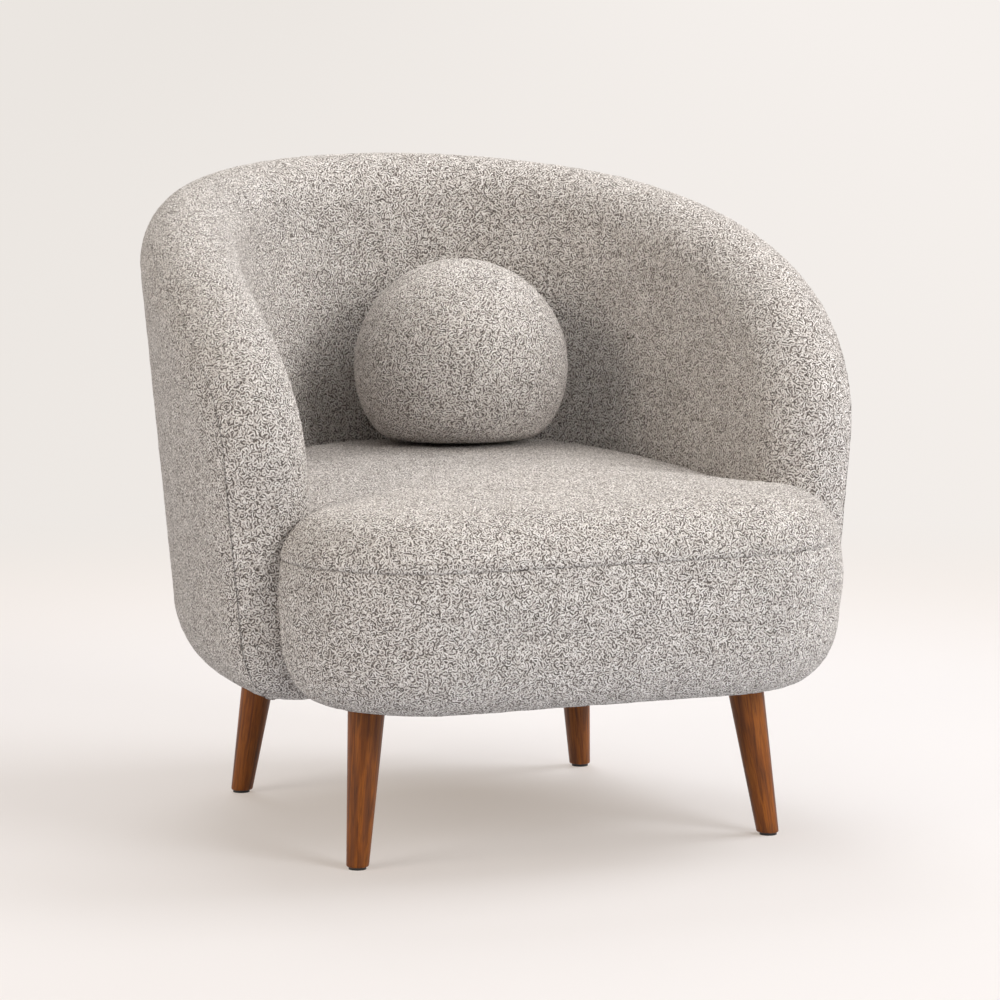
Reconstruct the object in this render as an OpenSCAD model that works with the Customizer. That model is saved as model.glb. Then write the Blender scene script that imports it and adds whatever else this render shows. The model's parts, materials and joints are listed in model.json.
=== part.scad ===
// Upholstered tub chair on four turned legs, with a loose ball cushion.
// +Z is up, the front faces -Y, X = 0 is the plane of symmetry and the feet stand on Z = 0.
// The wall of the tub is a sheet that follows half a superellipse in plan. It is padded to
// an even thickness, and its free edge is a full round that runs up one arm front, along the
// rim and down the other arm front.

/* [Tub] */
// Outer width of the tub, measured at lean_z
tub_w = 824; // [780:1:860]
// Reach of the tub behind the origin, measured at lean_z
tub_back = 419; // [390:1:450]
// Y of the arm ends, where the tub is widest
arm_y = -178; // [-200:1:-160]
// Squareness of the plan: 2 is an ellipse, more is boxier
plan_power = 2.22; // [2:0.01:2.8]
// Thickness of the padded wall
wall_t = 114.8; // [100:0.2:124]
// Height at which the width is measured
lean_z = 620; // [560:1:660]
// How far the wall leans out for each unit of height, as a share
lean_share = 0.092; // [0.05:0.002:0.12]
// Height of the rim at the middle of the back
rim_z = 756; // [720:1:800]
// Height of the rim at the shoulders
shoulder_z = 714; // [690:1:719]
// Height at which the arm fronts start to curve back
arm_z = 510; // [480:1:560]
// Length over which an arm climbs to the shoulder
arm_run = 454; // [380:1:520]
// Length of wall from the arm end to the seam inside the back
panel_run = 460; // [400:1:500]
// Angle round the rim from its outer side to its seam
seam_angle = 36; // [24:1:50]
// Height of the underside
base_z = 183; // [170:1:192]
// Height of the rounding at the foot of the tub
tub_foot_h = 76; // [60:1:90]
// Depth of the rounding at the foot of the tub
tub_foot_in = 54; // [45:1:56]

/* [Seat] */
// Width of the seat block in front of the arms
seat_w = 672; // [650:1:690]
// Reach of the seat block in front of the origin
seat_front = 419; // [410:1:440]
// Corner radius of the seat block in plan
seat_corner_r = 167; // [150:1:175]
// Height of the rounding under the seat front
seat_foot_h = 84; // [70:1:100]
// Depth of the rounding under the seat front
seat_foot_in = 62; // [58:1:72]
// How far the seat front bulges between its foot and its seam
seat_bulge = 4; // [0:0.5:8]
// Height of the seam along the seat front
seam_z = 350; // [335:1:365]
// Height of the rounding above the front seam
roll_h = 60; // [50:1:66]
// Depth of the rounding above the front seam
roll_in = 72; // [50:1:90]
// Height at which the seat meets the wall of the back
seat_side_z = 393; // [384:1:397]
// Height of the rounding where the seat meets the wall
side_roll_h = 22; // [16:1:30]
// Depth of the rounding where the seat meets the wall
side_roll_in = 22; // [16:1:30]
// Height of the crown in the middle of the seat
seat_z = 425; // [418:1:440]

/* [Ball cushion] */
// Diameter of the ball
ball_d = 260; // [240:1:266]
// How far the ball's middle lies to the right of the chair's
ball_x = 45; // [0:1:80]
// How much of the ball is flattened by its own weight
ball_sink = 44; // [30:1:50]

/* [Legs] */
// How far the front feet stand inside the sides of the seat block
front_foot_side = 81.5; // [76:0.5:91]
// How far the rear feet stand inside the middle of the wall beside them
rear_foot_side = 45.85; // [42:0.05:56]
// How far the front feet stand behind the front of the seat block
front_foot_back = 145; // [135:1:157]
// How far the rear feet stand in front of the back of the tub
rear_foot_back = 217; // [207:1:229]
// Sideways splay of the legs, as run over rise
splay_x_share = 0.116; // [0.08:0.002:0.14]
// Fore and aft splay of the legs, as run over rise
splay_y_share = 0.132; // [0.08:0.002:0.14]
// Diameter at the top of a leg
leg_top_d = 45; // [38:0.5:50]
// Diameter at the bottom of a leg
leg_foot_d = 25; // [24:0.5:32]
// Diameter of a hanger bolt
bolt_d = 8; // [6:0.5:10]
// Depth of a hanger bolt in its leg
bolt_in_leg = 45; // [30:1:60]
// Diameter of a foot glide
glide_d = 20; // [16:0.5:22]
// Thickness of a foot glide
glide_t = 3; // [2:0.5:4]
// Length of a glide's nail
glide_nail = 15; // [10:1:20]

/* [Covers and padding] */
// Thickness of the looped fabric
fabric_t = 3; // [2:0.5:4]
// Air between a cover of the tub and its padding
pad_gap = 0.3; // [0.2:0.1:0.5]
// Air between a cover of the seat and its padding
seat_pad_gap = 0.6; // [0.4:0.05:0.8]
// Thickness of the dust cover
dust_t = 1; // [0.5:0.1:1.5]
// Thickness of the felt over the springs
felt_t = 4; // [3:0.5:6]

/* [Frame] */
// Thickness of the base panel
base_t = 18; // [15:1:20]
// Thickness of the moulded tub panel
tub_panel_t = 15; // [12:0.5:18]
// How far the tub panel's outer face lies inside the middle of the wall
tub_panel_in = 5; // [4:0.5:10]
// Thickness of the seat rails
rail_t = 22; // [18:1:24]
// Height of the seat rails
rail_h = 88; // [80:1:96]
// Padding between the seat front and the front rail
front_pad = 69; // [64:1:76]
// How far the side rails' inner faces lie inside the sides of the seat block
rail_seat_side = 166; // [162:1:176]
// How far the side rails' inner faces lie inside the middle of the wall beside them
rail_wall_side = 132; // [128:1:142]
// How far the rear rail's rear face lies in front of the back of the tub
rear_rail_back = 284; // [277:1:299]
// Length of the short sides of a corner block
block_w = 50; // [40:1:60]
// Height of a corner block
block_h = 60; // [50:1:70]

/* [Springs] */
// Number of springs
spring_n = 5; // [4:1:6]
// Thickness of the spring wire
wire_d = 3.8; // [3:0.1:4]
// Width of a spring across its bends
spring_w = 46; // [40:1:50]
// Number of bends in a spring
bends_n = 12; // [10:2:16]
// Thickness of a spring clip
clip_t = 1.5; // [1:0.1:2]

/* [Hidden] */

half_wall = wall_t / 2;
path_w = tub_w / 2 - half_wall;
path_d = tub_back - half_wall - arm_y;
fit_gap = 0.1;
touch_gap = 0.3;
cut_over = 1;
sheet_z = base_z + fabric_t + pad_gap;
floor_z = sheet_z + base_t;
rail_top = floor_z + rail_h;

// Plan of the middle of the wall: t runs from 0 at the left arm end to 180 at the right one
half_turn_angle = 180;
function powered(v, p) = sign(v) * pow(abs(v), p);
function path_at(t) = [-path_w * powered(cos(t), 2 / plan_power),
    arm_y + path_d * powered(sin(t), 2 / plan_power)];
function unit(v) = v / norm(v);
function path_out(t) = let (q = path_at(t))
    unit([powered(q.x / path_w, plan_power - 1) / path_w,
        powered((q.y - arm_y) / path_d, plan_power - 1) / path_d]);
path_steps = 180;
path_dots = [for (k = [0:path_steps]) path_at(half_turn_angle * k / path_steps)];
function run_to(k, sum = 0, from = 0) = from >= k ? [sum]
    : concat([sum], run_to(k, sum + norm(path_dots[from + 1] - path_dots[from]), from + 1));
path_runs = run_to(path_steps);
path_len = path_runs[path_steps];
angle_of_run = [for (k = [0:path_steps]) [path_runs[k], half_turn_angle * k / path_steps]];
function t_at(run) = run <= 0 ? 0 : run >= path_len ? half_turn_angle : lookup(run, angle_of_run);
function wall_x(y) = path_w * pow(1 - pow((y - arm_y) / path_d, plan_power), 1 / plan_power);

// A point in plan at a run along the path, off the middle of the wall, at height z
function lean(z) = -(lean_z - z) * lean_share;
function plan_at(run, z, off) = let (t = t_at(run), q = path_at(t) + path_out(t) * (lean(z) + off))
    [q.x, q.y, z];

// Height of the middle of the rim at a run along the path
back_rise_run = 136;
function edge_z(run) = let (q = min(run, path_len - run), k = min(1, q / arm_run),
        g = max(0, (q - back_rise_run) / (path_len / 2 - back_rise_run)))
    arm_z + (shoulder_z - arm_z) * sqrt(1 - (1 - k) * (1 - k))
        + (rim_z - shoulder_z) * pow(sin(90 * g), 2) - half_wall;
slope_step = 2;
function slope_at(run) = run <= 0 || run >= path_len ? 90
    : let (q = min(run, path_len - run), a = max(0, q - slope_step), b = q + slope_step)
        atan2(edge_z(b) - edge_z(a), b - a);

// The wall's grid: columns along the path, rows up the wall and steps round its free edge
arm_cols = 9;
back_cols = 10;
cols = 2 * arm_cols + back_cols;
foot_rows = 3;
rows = 6;
turns = 8;
seam_turn = 2;
edge_len = 2 * rows + cols;
function run_of(i) = i <= arm_cols ? panel_run * (1 - cos(90 * i / arm_cols))
    : i >= cols - arm_cols ? path_len - run_of(cols - i)
    : panel_run + (path_len - 2 * panel_run) * (i - arm_cols) / back_cols;
function foot_angle(j) = min(90, 90 * j / foot_rows);
function wall_z(i, j) = let (low = base_z + tub_foot_h)
    j <= foot_rows ? base_z + tub_foot_h * (1 - cos(foot_angle(j)))
    : low + (edge_z(run_of(i)) - low) * (j - foot_rows) / (rows - foot_rows);
function foot_in(j) = tub_foot_in * (1 - sin(foot_angle(j)));
function turn_angle(k) = k <= seam_turn ? seam_angle * k / seam_turn
    : seam_angle + (half_turn_angle - seam_angle) * (k - seam_turn) / (turns - seam_turn);

// Points of the outer face, the inner face and the round edge, set in by the depth t
function set_z(i, j, t) = wall_z(i, j) + t * cos(foot_angle(j));
function set_in(j, t) = t * sin(foot_angle(j));
function outer_pt(i, j, t) = plan_at(run_of(i), set_z(i, j, t), half_wall - foot_in(j) - set_in(j, t));
function inner_pt(i, j, t) = plan_at(run_of(i), set_z(i, j, t), t - half_wall);
function edge_col(u) = max(0, min(cols, u - rows));
function edge_row(u) = min(rows, u, edge_len - u);
function edge_pt(u, k, t) = let (i = edge_col(u), j = edge_row(u), run = run_of(i),
        a = turn_angle(k),
        out = path_out(t_at(run)), left = i < cols / 2,
        fore = left ? [-out.y, out.x] : [out.y, -out.x],
        ease = a <= 90 ? 1 : (half_turn_angle - a) / 90,
        r = half_wall - foot_in(j) * ease - set_in(j, t),
        s = j < rows ? 90 : slope_at(run), m = plan_at(run, set_z(i, j, t), 0))
    m + r * (cos(a) * [out.x, out.y, 0] + sin(a) * [sin(s) * fore.x, sin(s) * fore.y, cos(s)]);

// Numbers of the points in one layer
outer_n = (cols + 1) * (rows + 1);
layer_n = 2 * outer_n + (edge_len + 1) * (turns - 1);
function outer_id(i, j) = i * (rows + 1) + j;
function inner_id(i, j) = outer_n + i * (rows + 1) + j;
function edge_id(u, k) = k == 0 ? outer_id(edge_col(u), edge_row(u))
    : k == turns ? inner_id(edge_col(u), edge_row(u)) : 2 * outer_n + u * (turns - 1) + k - 1;
function wall_layer(t) = concat([for (i = [0:cols], j = [0:rows]) outer_pt(i, j, t)],
    [for (i = [0:cols], j = [0:rows]) inner_pt(i, j, t)],
    [for (u = [0:edge_len], k = [1:turns - 1]) edge_pt(u, k, t)]);

// Cells of the grid, each a ring of four point numbers seen clockwise from outside
function outer_cells(a, b, low, high) = [for (i = [a:1:b - 1], j = [low:1:high - 1])
    [outer_id(i, j), outer_id(i + 1, j), outer_id(i + 1, j + 1), outer_id(i, j + 1)]];
function inner_cells(a, b, low, high) = [for (i = [a:1:b - 1], j = [low:1:high - 1])
    [inner_id(i, j), inner_id(i, j + 1), inner_id(i + 1, j + 1), inner_id(i + 1, j)]];
function edge_cells(a, b, low, high) = [for (u = [a:1:b - 1], k = [low:1:high - 1])
    [edge_id(u, k), edge_id(u + 1, k), edge_id(u + 1, k + 1), edge_id(u, k + 1)]];

// Triangles for a cell of three or four points
function halves(c) = len(c) == 3 ? [c] : [[c[0], c[1], c[2]], [c[0], c[2], c[3]]];
function all_halves(cells) = [for (c = cells, h = halves(c)) h];
function turned(faces, n) = [for (f = faces) [for (k = [len(f) - 1:-1:0]) f[k] + n]];

// A skin between two layers: both faces, and a strip along every edge that has no neighbour
module skin(outer_pts, inner_pts, cells) {
    n = len(outer_pts);
    edges = [for (c = cells, k = [0:len(c) - 1]) [c[k], c[(k + 1) % len(c)]]];
    keys = [for (e = edges) [e[0] * n + e[1]]];
    found = search([for (e = edges) e[1] * n + e[0]], keys);
    rim = [for (k = [0:len(edges) - 1]) if (found[k] == []) edges[k]];
    strips = [for (e = rim, f = e[0] < e[1]
            ? [[e[1], e[0], e[0] + n], [e[1], e[0] + n, e[1] + n]]
            : [[e[1], e[0], e[1] + n], [e[0], e[0] + n, e[1] + n]]) f];
    polyhedron(concat(outer_pts, inner_pts),
        concat(all_halves(cells), turned(all_halves(cells), n), strips), convexity = 8);
}

// A solid slice of the wall between two columns, with the arm end where it holds one
module wall_block(t, a, b) {
    from_end = a == 0;
    to_end = b == cols;
    first = from_end ? 0 : rows + a;
    last = to_end ? edge_len : rows + b;
    sides = concat(outer_cells(a, b, 0, rows), inner_cells(a, b, 0, rows),
        edge_cells(first, last, 0, turns));
    under = [for (i = [a:1:b - 1])
        [outer_id(i, 0), inner_id(i, 0), inner_id(i + 1, 0), outer_id(i + 1, 0)]];
    start = from_end ? edge_fan(0) : cap(a);
    end = turned(to_end ? edge_fan(edge_len) : cap(b), 0);
    polyhedron(wall_layer(t), concat(all_halves(sides), all_halves(under), start, end), convexity = 8);
}
function edge_fan(u) = [for (k = [0:turns - 2]) [edge_id(u, turns), edge_id(u, k), edge_id(u, k + 1)]];
function cap(i) = let (wall = [for (j = [0:rows - 1])
        [outer_id(i, j), outer_id(i, j + 1), inner_id(i, j + 1), inner_id(i, j)]])
    concat(all_halves(wall), edge_fan(rows + i));

// Moulded panel inside the wall, grown on all sides by the clearance g
module tub_slab(g) {
    low = floor_z - g;
    outer = -tub_panel_in + g;
    inner = -tub_panel_in - tub_panel_t - g;
    runs = [for (i = [0:cols])
        i == 0 ? tub_panel_in - g : i == cols ? path_len - tub_panel_in + g : run_of(i)];
    pts = [for (r = runs) each let (high = edge_z(max(0, min(path_len, r))) + g)
        [plan_at(r, low, outer), plan_at(r, high, outer), plan_at(r, high, inner), plan_at(r, low, inner)]];
    start = halves([0, 1, 2, 3]);
    sides = [for (i = [0:cols - 1], k = [0:3])
        [4 * i + k, 4 * i + 4 + k, 4 * i + 4 + (k + 1) % 4, 4 * i + (k + 1) % 4]];
    polyhedron(pts, concat(start, turned(start, 4 * cols), all_halves(sides)), convexity = 8);
}

// Places of the rails and the feet inside the wall and the seat block
rear_rail_y = tub_back - rear_rail_back;
side_rail_x = min(seat_w / 2 - rail_seat_side, wall_x(rear_rail_y) - rail_wall_side);
front_foot_x = seat_w / 2 - front_foot_side;
front_foot_y = seat_front - front_foot_back;
rear_foot_y = tub_back - rear_foot_back;
rear_foot_x = wall_x(rear_foot_y) - rear_foot_side;

// Outline of the base: half a superellipse behind the arm ends and a rounded front
base_off = half_wall - tub_foot_in - fabric_t - 2 * pad_gap;
rail_front = seat_front - front_pad;
rail_x = seat_w / 2 - front_pad;
rail_r = seat_corner_r - front_pad;
rail_bend_r = rail_r - rail_t;
rail_start_y = rail_r - rail_front + touch_gap
    - sqrt(pow(rail_bend_r, 2) - pow(side_rail_x + rail_t - rail_x + rail_r, 2));
arc_steps = 16;
function wall_ring(z, off) = [for (k = [0:cols]) let (q = plan_at(path_len * k / cols, z, off)) [q.x, q.y]];
function front_ring(g) = concat([[rail_x + g, arm_y]],
    [for (s = [1, -1], k = [0:arc_steps]) let (a = 90 * (s > 0 ? k : arc_steps - k) / arc_steps)
        [s * (rail_x - rail_r + (rail_r + g) * cos(a)), rail_r - rail_front - (rail_r + g) * sin(a)]],
    [[-rail_x - g, arm_y]]);
module base_outline(g) polygon(concat(wall_ring(sheet_z, base_off + g), front_ring(g)));
module front_outline(g) polygon(front_ring(g));

// Screws that stand in a base or a rail
screw_d = 4;
screw_head_d = 8;
screw_head_t = 3;
screw_l = 34;
tub_screws_n = 9;
tub_screw_spots = [for (k = [0:tub_screws_n - 1])
    plan_at(path_len * (k + 0.5) / tub_screws_n, floor_z, -tub_panel_in - tub_panel_t / 2)];
rail_screw_spots = [for (s = [-1, 1]) each
    [[s * (side_rail_x + rail_t / 2), 2 * rail_t - rail_front],
        [s * (side_rail_x + rail_t / 2), rear_rail_y - rail_t / 2],
        [s * side_rail_x / 2, rail_t / 2 - rail_front],
        [s * side_rail_x / 2, rear_rail_y - rail_t / 2]]];
module base_screw(spot, g, over) translate([spot.x, spot.y, sheet_z]) {
    translate([0, 0, -over]) cylinder(d = screw_head_d + 2 * g, h = screw_head_t + over + g, $fn = 32);
    translate([0, 0, screw_head_t]) cylinder(d = screw_d + 2 * g, h = screw_l + g, $fn = 32);
}

// Legs: each has its foot, its lean and the same turned taper
leg_spots = [[-front_foot_x, -front_foot_y], [front_foot_x, -front_foot_y],
    [-rear_foot_x, rear_foot_y], [rear_foot_x, rear_foot_y]];
leg_top = sheet_z - dust_t - touch_gap;
leg_lean = atan(norm([splay_x_share, splay_y_share]));
leg_over = 2.5;
module along_leg(spot) {
    translate([spot.x, spot.y, 0])
        rotate([0, 0, atan2(-sign(spot.y) * splay_y_share, -sign(spot.x) * splay_x_share)])
            rotate([0, leg_lean, 0]) children();
}
leg_long = leg_top / cos(leg_lean);
nail_d = 3;
module leg(spot) color("#5b3a22") difference() {
    along_leg(spot) translate([0, 0, -leg_over])
        cylinder(d1 = leg_foot_d, d2 = leg_top_d, h = leg_long + leg_top_d / 2, $fn = 64);
    level_cut(spot, glide_t - leg_top_d);
    level_cut(spot, leg_top);
    along_leg(spot) translate([0, 0, leg_long - bolt_in_leg])
        cylinder(d = bolt_d, h = 2 * bolt_in_leg, $fn = 32);
    translate([spot.x, spot.y, glide_t - cut_over])
        cylinder(d = nail_d, h = glide_nail + cut_over, $fn = 24);
}
module level_cut(spot, z) translate([spot.x - 2 * leg_top_d, spot.y - 2 * leg_top_d, z])
    cube([4 * leg_top_d, 4 * leg_top_d, leg_top_d]);

// Nuts in the base and the bolts' reach through them
nut_d = 11;
nut_flange_d = 24;
nut_flange_t = 1.5;
nut_low = (sheet_z + base_t / 4) / cos(leg_lean);
bolt_top = (floor_z + touch_gap) / cos(leg_lean) + nut_flange_d / 2 * tan(leg_lean) + nut_flange_t;

// Seat: half of its outline has a straight front, a corner, a hug round the arm end and the wall
front_steps = 2;
front_bow = 1.5;
corner_steps = 6;
hug_steps = 5;
wall_steps = cols / 2;
half_steps = front_steps + corner_steps + 1 + hug_steps + wall_steps;
corner_soft = 4;
corner_turn_angle = 6;
hug_from_angle = 160;
seat_gap = 0.6;
hug_gap = 1.2;
hug_in = 6;
function seat_half(h, z, set, t, hug_t) = let (c = set + t,
        cx = seat_w / 2 - seat_corner_r, cy = seat_corner_r - seat_front,
        a = h - front_steps, g = h - front_steps - corner_steps, w = g - 1 - hug_steps,
        tip = plan_at(path_len, z, 0), hug_r = half_wall + hug_gap + min(set, hug_in) + hug_t,
        from = min(hug_from_angle, acos(max(-1, min(1, (seat_w / 2 - c - tip.x) / hug_r)))))
    h <= front_steps ? [cx * h / front_steps, c - seat_front - front_bow * (1 - pow(h / front_steps, 2))]
    : a <= corner_steps ? let (b = 90 * a / corner_steps)
        [cx + (seat_corner_r - c) * sin(b), cy - (seat_corner_r - c) * cos(b)]
    : g == 1 ? [seat_w / 2 - c, tip.y - hug_r * sin(from) - corner_soft]
    : w <= 0 ? let (b = mixed(from + corner_turn_angle, half_turn_angle, (g - 2) / (hug_steps - 1)))
        [tip.x + hug_r * cos(b), tip.y - hug_r * sin(b)]
    : let (q = plan_at(run_of(cols - w), z, -half_wall - seat_gap - c)) [q.x, q.y];
ring_n = 2 * half_steps;
function seat_edge(i, z, set, t, hug_t) = i <= half_steps ? seat_half(i, z, set, t, hug_t)
    : let (q = seat_half(ring_n - i, z, set, t, hug_t)) [-q.x, q.y];
// How much a place on the outline belongs to the wall side: 0 in front, 1 beside the wall
function wall_side(i) = let (h = min(i, ring_n - i), first = front_steps + corner_steps)
    h <= first ? 0 : min(1, (h - first) / (hug_steps - 1));
// How far the seat's edge has risen there: 0 at the front seam, 1 at its height beside the back
arm_end_share = 0.56;
seat_rise_run = 420;
function rise_share(i) = let (g = min(i, ring_n - i) - front_steps - corner_steps, w = g - 1 - hug_steps)
    g <= 0 ? 0 : w <= 0 ? arm_end_share * g / (hug_steps + 1)
    : mixed(arm_end_share, 1, min(1, (path_len - run_of(cols - w)) / seat_rise_run));
function mixed(a, b, w) = a + (b - a) * w;
seat_foot_rows = 3;
roll_rows = 3;
ring_shares = [0.2, 0.45, 0.72];
seam_row = seat_foot_rows + 2;
seat_rows = seam_row + roll_rows + len(ring_shares);
roll_deg = 75;
seat_middle = [0, (tub_back - seat_front + arm_y) / 2];
function seat_pt(i, k, t) = let (w = wall_side(i),
        rh = mixed(roll_h, side_roll_h, w), ri = mixed(roll_in, side_roll_in, w),
        z0 = mixed(seam_z, seat_side_z, rise_share(i)))
    k <= seat_foot_rows ? let (b = 90 * k / seat_foot_rows,
        z = base_z + seat_foot_h * (1 - cos(b)) + t * cos(b),
        q = seat_edge(i, z, seat_foot_in * (1 - sin(b)), t * sin(b), t)) [q.x, q.y, z]
    : k < seam_row ? let (z = (base_z + seat_foot_h + z0) / 2,
        q = seat_edge(i, z, w == 0 ? -seat_bulge : 0, t, t)) [q.x, q.y, z]
    : k <= seam_row + roll_rows ? let (b = roll_deg * (k - seam_row) / roll_rows,
        z = z0 + (rh - t) * sin(b), q = seat_edge(i, z, ri * (1 - cos(b)), t * cos(b), t)) [q.x, q.y, z]
    : let (p = ring_shares[k - seam_row - roll_rows - 1], e = seat_pt(i, seam_row + roll_rows, t),
        zt = mixed(e.z, seat_z - t, 1 - (1 - p) * (1 - p)))
        [mixed(e.x, seat_middle.x, p), mixed(e.y, seat_middle.y, p), zt];
seat_n = ring_n * (seat_rows + 1) + 1;
function seat_id(i, k) = k * ring_n + i % ring_n;
function seat_layer(t) = concat([for (k = [0:seat_rows], i = [0:ring_n - 1]) seat_pt(i, k, t)],
    [[seat_middle.x, seat_middle.y, seat_z - t]]);
function seat_cells(a, b, low, high) = [for (k = [low:1:high - 1], i = [a:1:b - 1])
    [seat_id(i, k), seat_id(i, k + 1), seat_id(i + 1, k + 1), seat_id(i + 1, k)]];
function seat_fan() = [for (i = [0:ring_n - 1])
    [seat_id(i, seat_rows), seat_n - 1, seat_id(i + 1, seat_rows)]];

// The ball rests on the crown of the seat and leans on the wall behind it
ball_r = ball_d / 2;
ball_z = seat_z + touch_gap + ball_r - ball_sink;
ball_gap = 1.2;
ball_tries = 16;
function wall_room(y) = cos(atan(lean_share)) * min([for (k = [1:2 * cols - 1])
    norm(plan_at(path_len * k / cols / 2, ball_z, -half_wall) - [ball_x, y, ball_z])]);
function seated(low, high, n) = let (mid = (low + high) / 2)
    n == 0 ? low : wall_room(mid) > ball_r + ball_gap ? seated(mid, high, n - 1) : seated(low, mid, n - 1);
ball_y = seated(0, tub_back, ball_tries);
module ball(r) difference() {
    translate([ball_x, ball_y, ball_z]) sphere(r = r, $fn = 96);
    translate([ball_x - ball_d, ball_y - ball_d, ball_z + ball_sink - r - ball_d])
        cube([2 * ball_d, 2 * ball_d, ball_d]);
}

// Covers of the tub
cover_color = "#e6dfd3";
open_rows = 3;
low_turns = 6;
module outside_back_cover() color(cover_color)
    skin(wall_layer(0), wall_layer(fabric_t),
        concat(outer_cells(0, cols, 0, rows), edge_cells(0, edge_len, 0, seam_turn)));
module inside_back_cover() color(cover_color)
    skin(wall_layer(0), wall_layer(fabric_t),
        concat(inner_cells(arm_cols, cols - arm_cols, open_rows, rows),
            edge_cells(rows + arm_cols, rows + cols - arm_cols, seam_turn, turns)));
module left_arm_cover() color(cover_color)
    skin(wall_layer(0), wall_layer(fabric_t),
        concat(inner_cells(0, arm_cols, open_rows, rows), edge_cells(0, open_rows, seam_turn, low_turns),
            edge_cells(open_rows, rows + arm_cols, seam_turn, turns)));
module right_arm_cover() color(cover_color)
    skin(wall_layer(0), wall_layer(fabric_t),
        concat(inner_cells(cols - arm_cols, cols, open_rows, rows),
            edge_cells(rows + cols - arm_cols, edge_len - open_rows, seam_turn, turns),
            edge_cells(edge_len - open_rows, edge_len, seam_turn, low_turns)));

// Padding of the tub, moulded round its panel, with room over the base for the leg nuts
nut_room = 8;
module tub_padding(a, b) color("#f3e7b0") difference() {
    wall_block(fabric_t + pad_gap, a, b);
    tub_slab(pad_gap);
    translate([0, 0, sheet_z - cut_over])
        linear_extrude(base_t + cut_over + nut_room) base_outline(pad_gap);
}
module back_foam() tub_padding(arm_cols, cols - arm_cols);
module left_arm_foam() tub_padding(0, arm_cols);
module right_arm_foam() tub_padding(cols - arm_cols, cols);

// Frame
module tub_panel() color("#c79a62") difference() {
    tub_slab(0);
    for (s = tub_screw_spots) base_screw(s, fit_gap, cut_over);
}
module tub_panel_screws() color("#8d8f93") for (s = tub_screw_spots) base_screw(s, 0, 0);
module rail_screws() color("#8d8f93") for (s = rail_screw_spots) base_screw(s, 0, 0);
module base_panel() color("#d2ab77") difference() {
    translate([0, 0, sheet_z]) linear_extrude(base_t) base_outline(0);
    for (s = concat(tub_screw_spots, rail_screw_spots)) base_screw(s, fit_gap, cut_over);
    for (s = leg_spots) along_leg(s) {
        cylinder(d = bolt_d + 2 * fit_gap, h = 2 * floor_z, $fn = 32);
        translate([0, 0, nut_low]) cylinder(d = nut_d + 2 * fit_gap, h = floor_z, $fn = 32);
    }
    for (q = tack_spots) translate([q.x, q.y, sheet_z - cut_over])
        cylinder(d = tack_d, h = tack_l + cut_over, $fn = 24);
}
module rail_screw_holes() for (s = rail_screw_spots) base_screw(s, fit_gap, cut_over);
module front_rail() color("#cda56f") difference() {
    translate([0, 0, floor_z]) linear_extrude(rail_h) difference() {
        front_outline(0);
        front_outline(-rail_t);
        translate([-seat_w, arm_y - half_wall - fabric_t]) square([2 * seat_w, seat_w]);
    }
    rail_screw_holes();
}
module side_rails() color("#cda56f") for (s = [-1, 1]) difference() {
    translate([s * (side_rail_x + rail_t / 2) - rail_t / 2, rail_start_y, floor_z])
        cube([rail_t, rear_rail_y - rail_start_y, rail_h]);
    rail_screw_holes();
}
module rear_rail() color("#cda56f") difference() {
    translate([-side_rail_x, rear_rail_y - rail_t, floor_z]) cube([2 * side_rail_x, rail_t, rail_h]);
    rail_screw_holes();
}
module corner_blocks() color("#b98d58")
    for (sx = [-1, 1], c = [[rail_start_y, 1], [rear_rail_y - rail_t, -1]])
        translate([sx * side_rail_x, c[0], floor_z]) linear_extrude(block_h)
            polygon([[0, 0], [-sx * block_w, 0], [0, c[1] * block_w]]);

// Springs: flat wire waves between clips on the front and rear rails
clip_w = 16;
clip_l = 18;
spring_low = rail_top + clip_t;
spring_from = rail_t / 2 - rail_front;
spring_to = rear_rail_y - rail_t / 2;
bend_pitch = (spring_to - spring_from) / bends_n;
bend_r = bend_pitch / 2;
bar_l = spring_w - 2 * bend_r - wire_d;
function spring_x(k) = (k - (spring_n - 1) / 2) * 2 * side_rail_x / spring_n;
module bend(right) difference() {
    circle(r = bend_r + wire_d / 2, $fn = 48);
    circle(r = bend_r - wire_d / 2, $fn = 48);
    translate([right ? -2 * bend_r : 0, -bend_pitch]) square([2 * bend_r, 2 * bend_pitch]);
}
module spring() linear_extrude(wire_d) {
    for (k = [0:bends_n - 1], s = k % 2 == 0 ? 1 : -1)
        translate([s * bar_l / 2, spring_from + bend_pitch * (k + 0.5)]) bend(s > 0);
    for (k = [0:bends_n])
        translate([-bar_l / 2, spring_from + bend_pitch * k - wire_d / 2]) square([bar_l, wire_d]);
}
module seat_springs() color("#9a9ca0") for (k = [0:spring_n - 1])
    translate([spring_x(k), 0, spring_low + fit_gap]) spring();
module spring_clips() color("#b5b7ba") for (k = [0:spring_n - 1], y = [spring_from, spring_to])
    translate([spring_x(k) - clip_w / 2, y - clip_l / 2, rail_top]) difference() {
        cube([clip_w, clip_l, 2 * clip_t + wire_d + 2 * fit_gap]);
        translate([-cut_over, y < 0 ? clip_l / 2 - wire_d : -cut_over, clip_t])
            cube([clip_w + 2 * cut_over, clip_l / 2 + wire_d + cut_over, wire_d + 2 * fit_gap]);
    }
felt_low = rail_top + 2 * clip_t + wire_d + 2 * fit_gap;
felt_in = 6;
module spring_felt() color("#6d6a66")
    translate([felt_in - side_rail_x - rail_t, rail_t / 2 - rail_front, felt_low])
        cube([2 * (side_rail_x + rail_t - felt_in), rear_rail_y + rail_front - rail_t, felt_t]);

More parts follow.
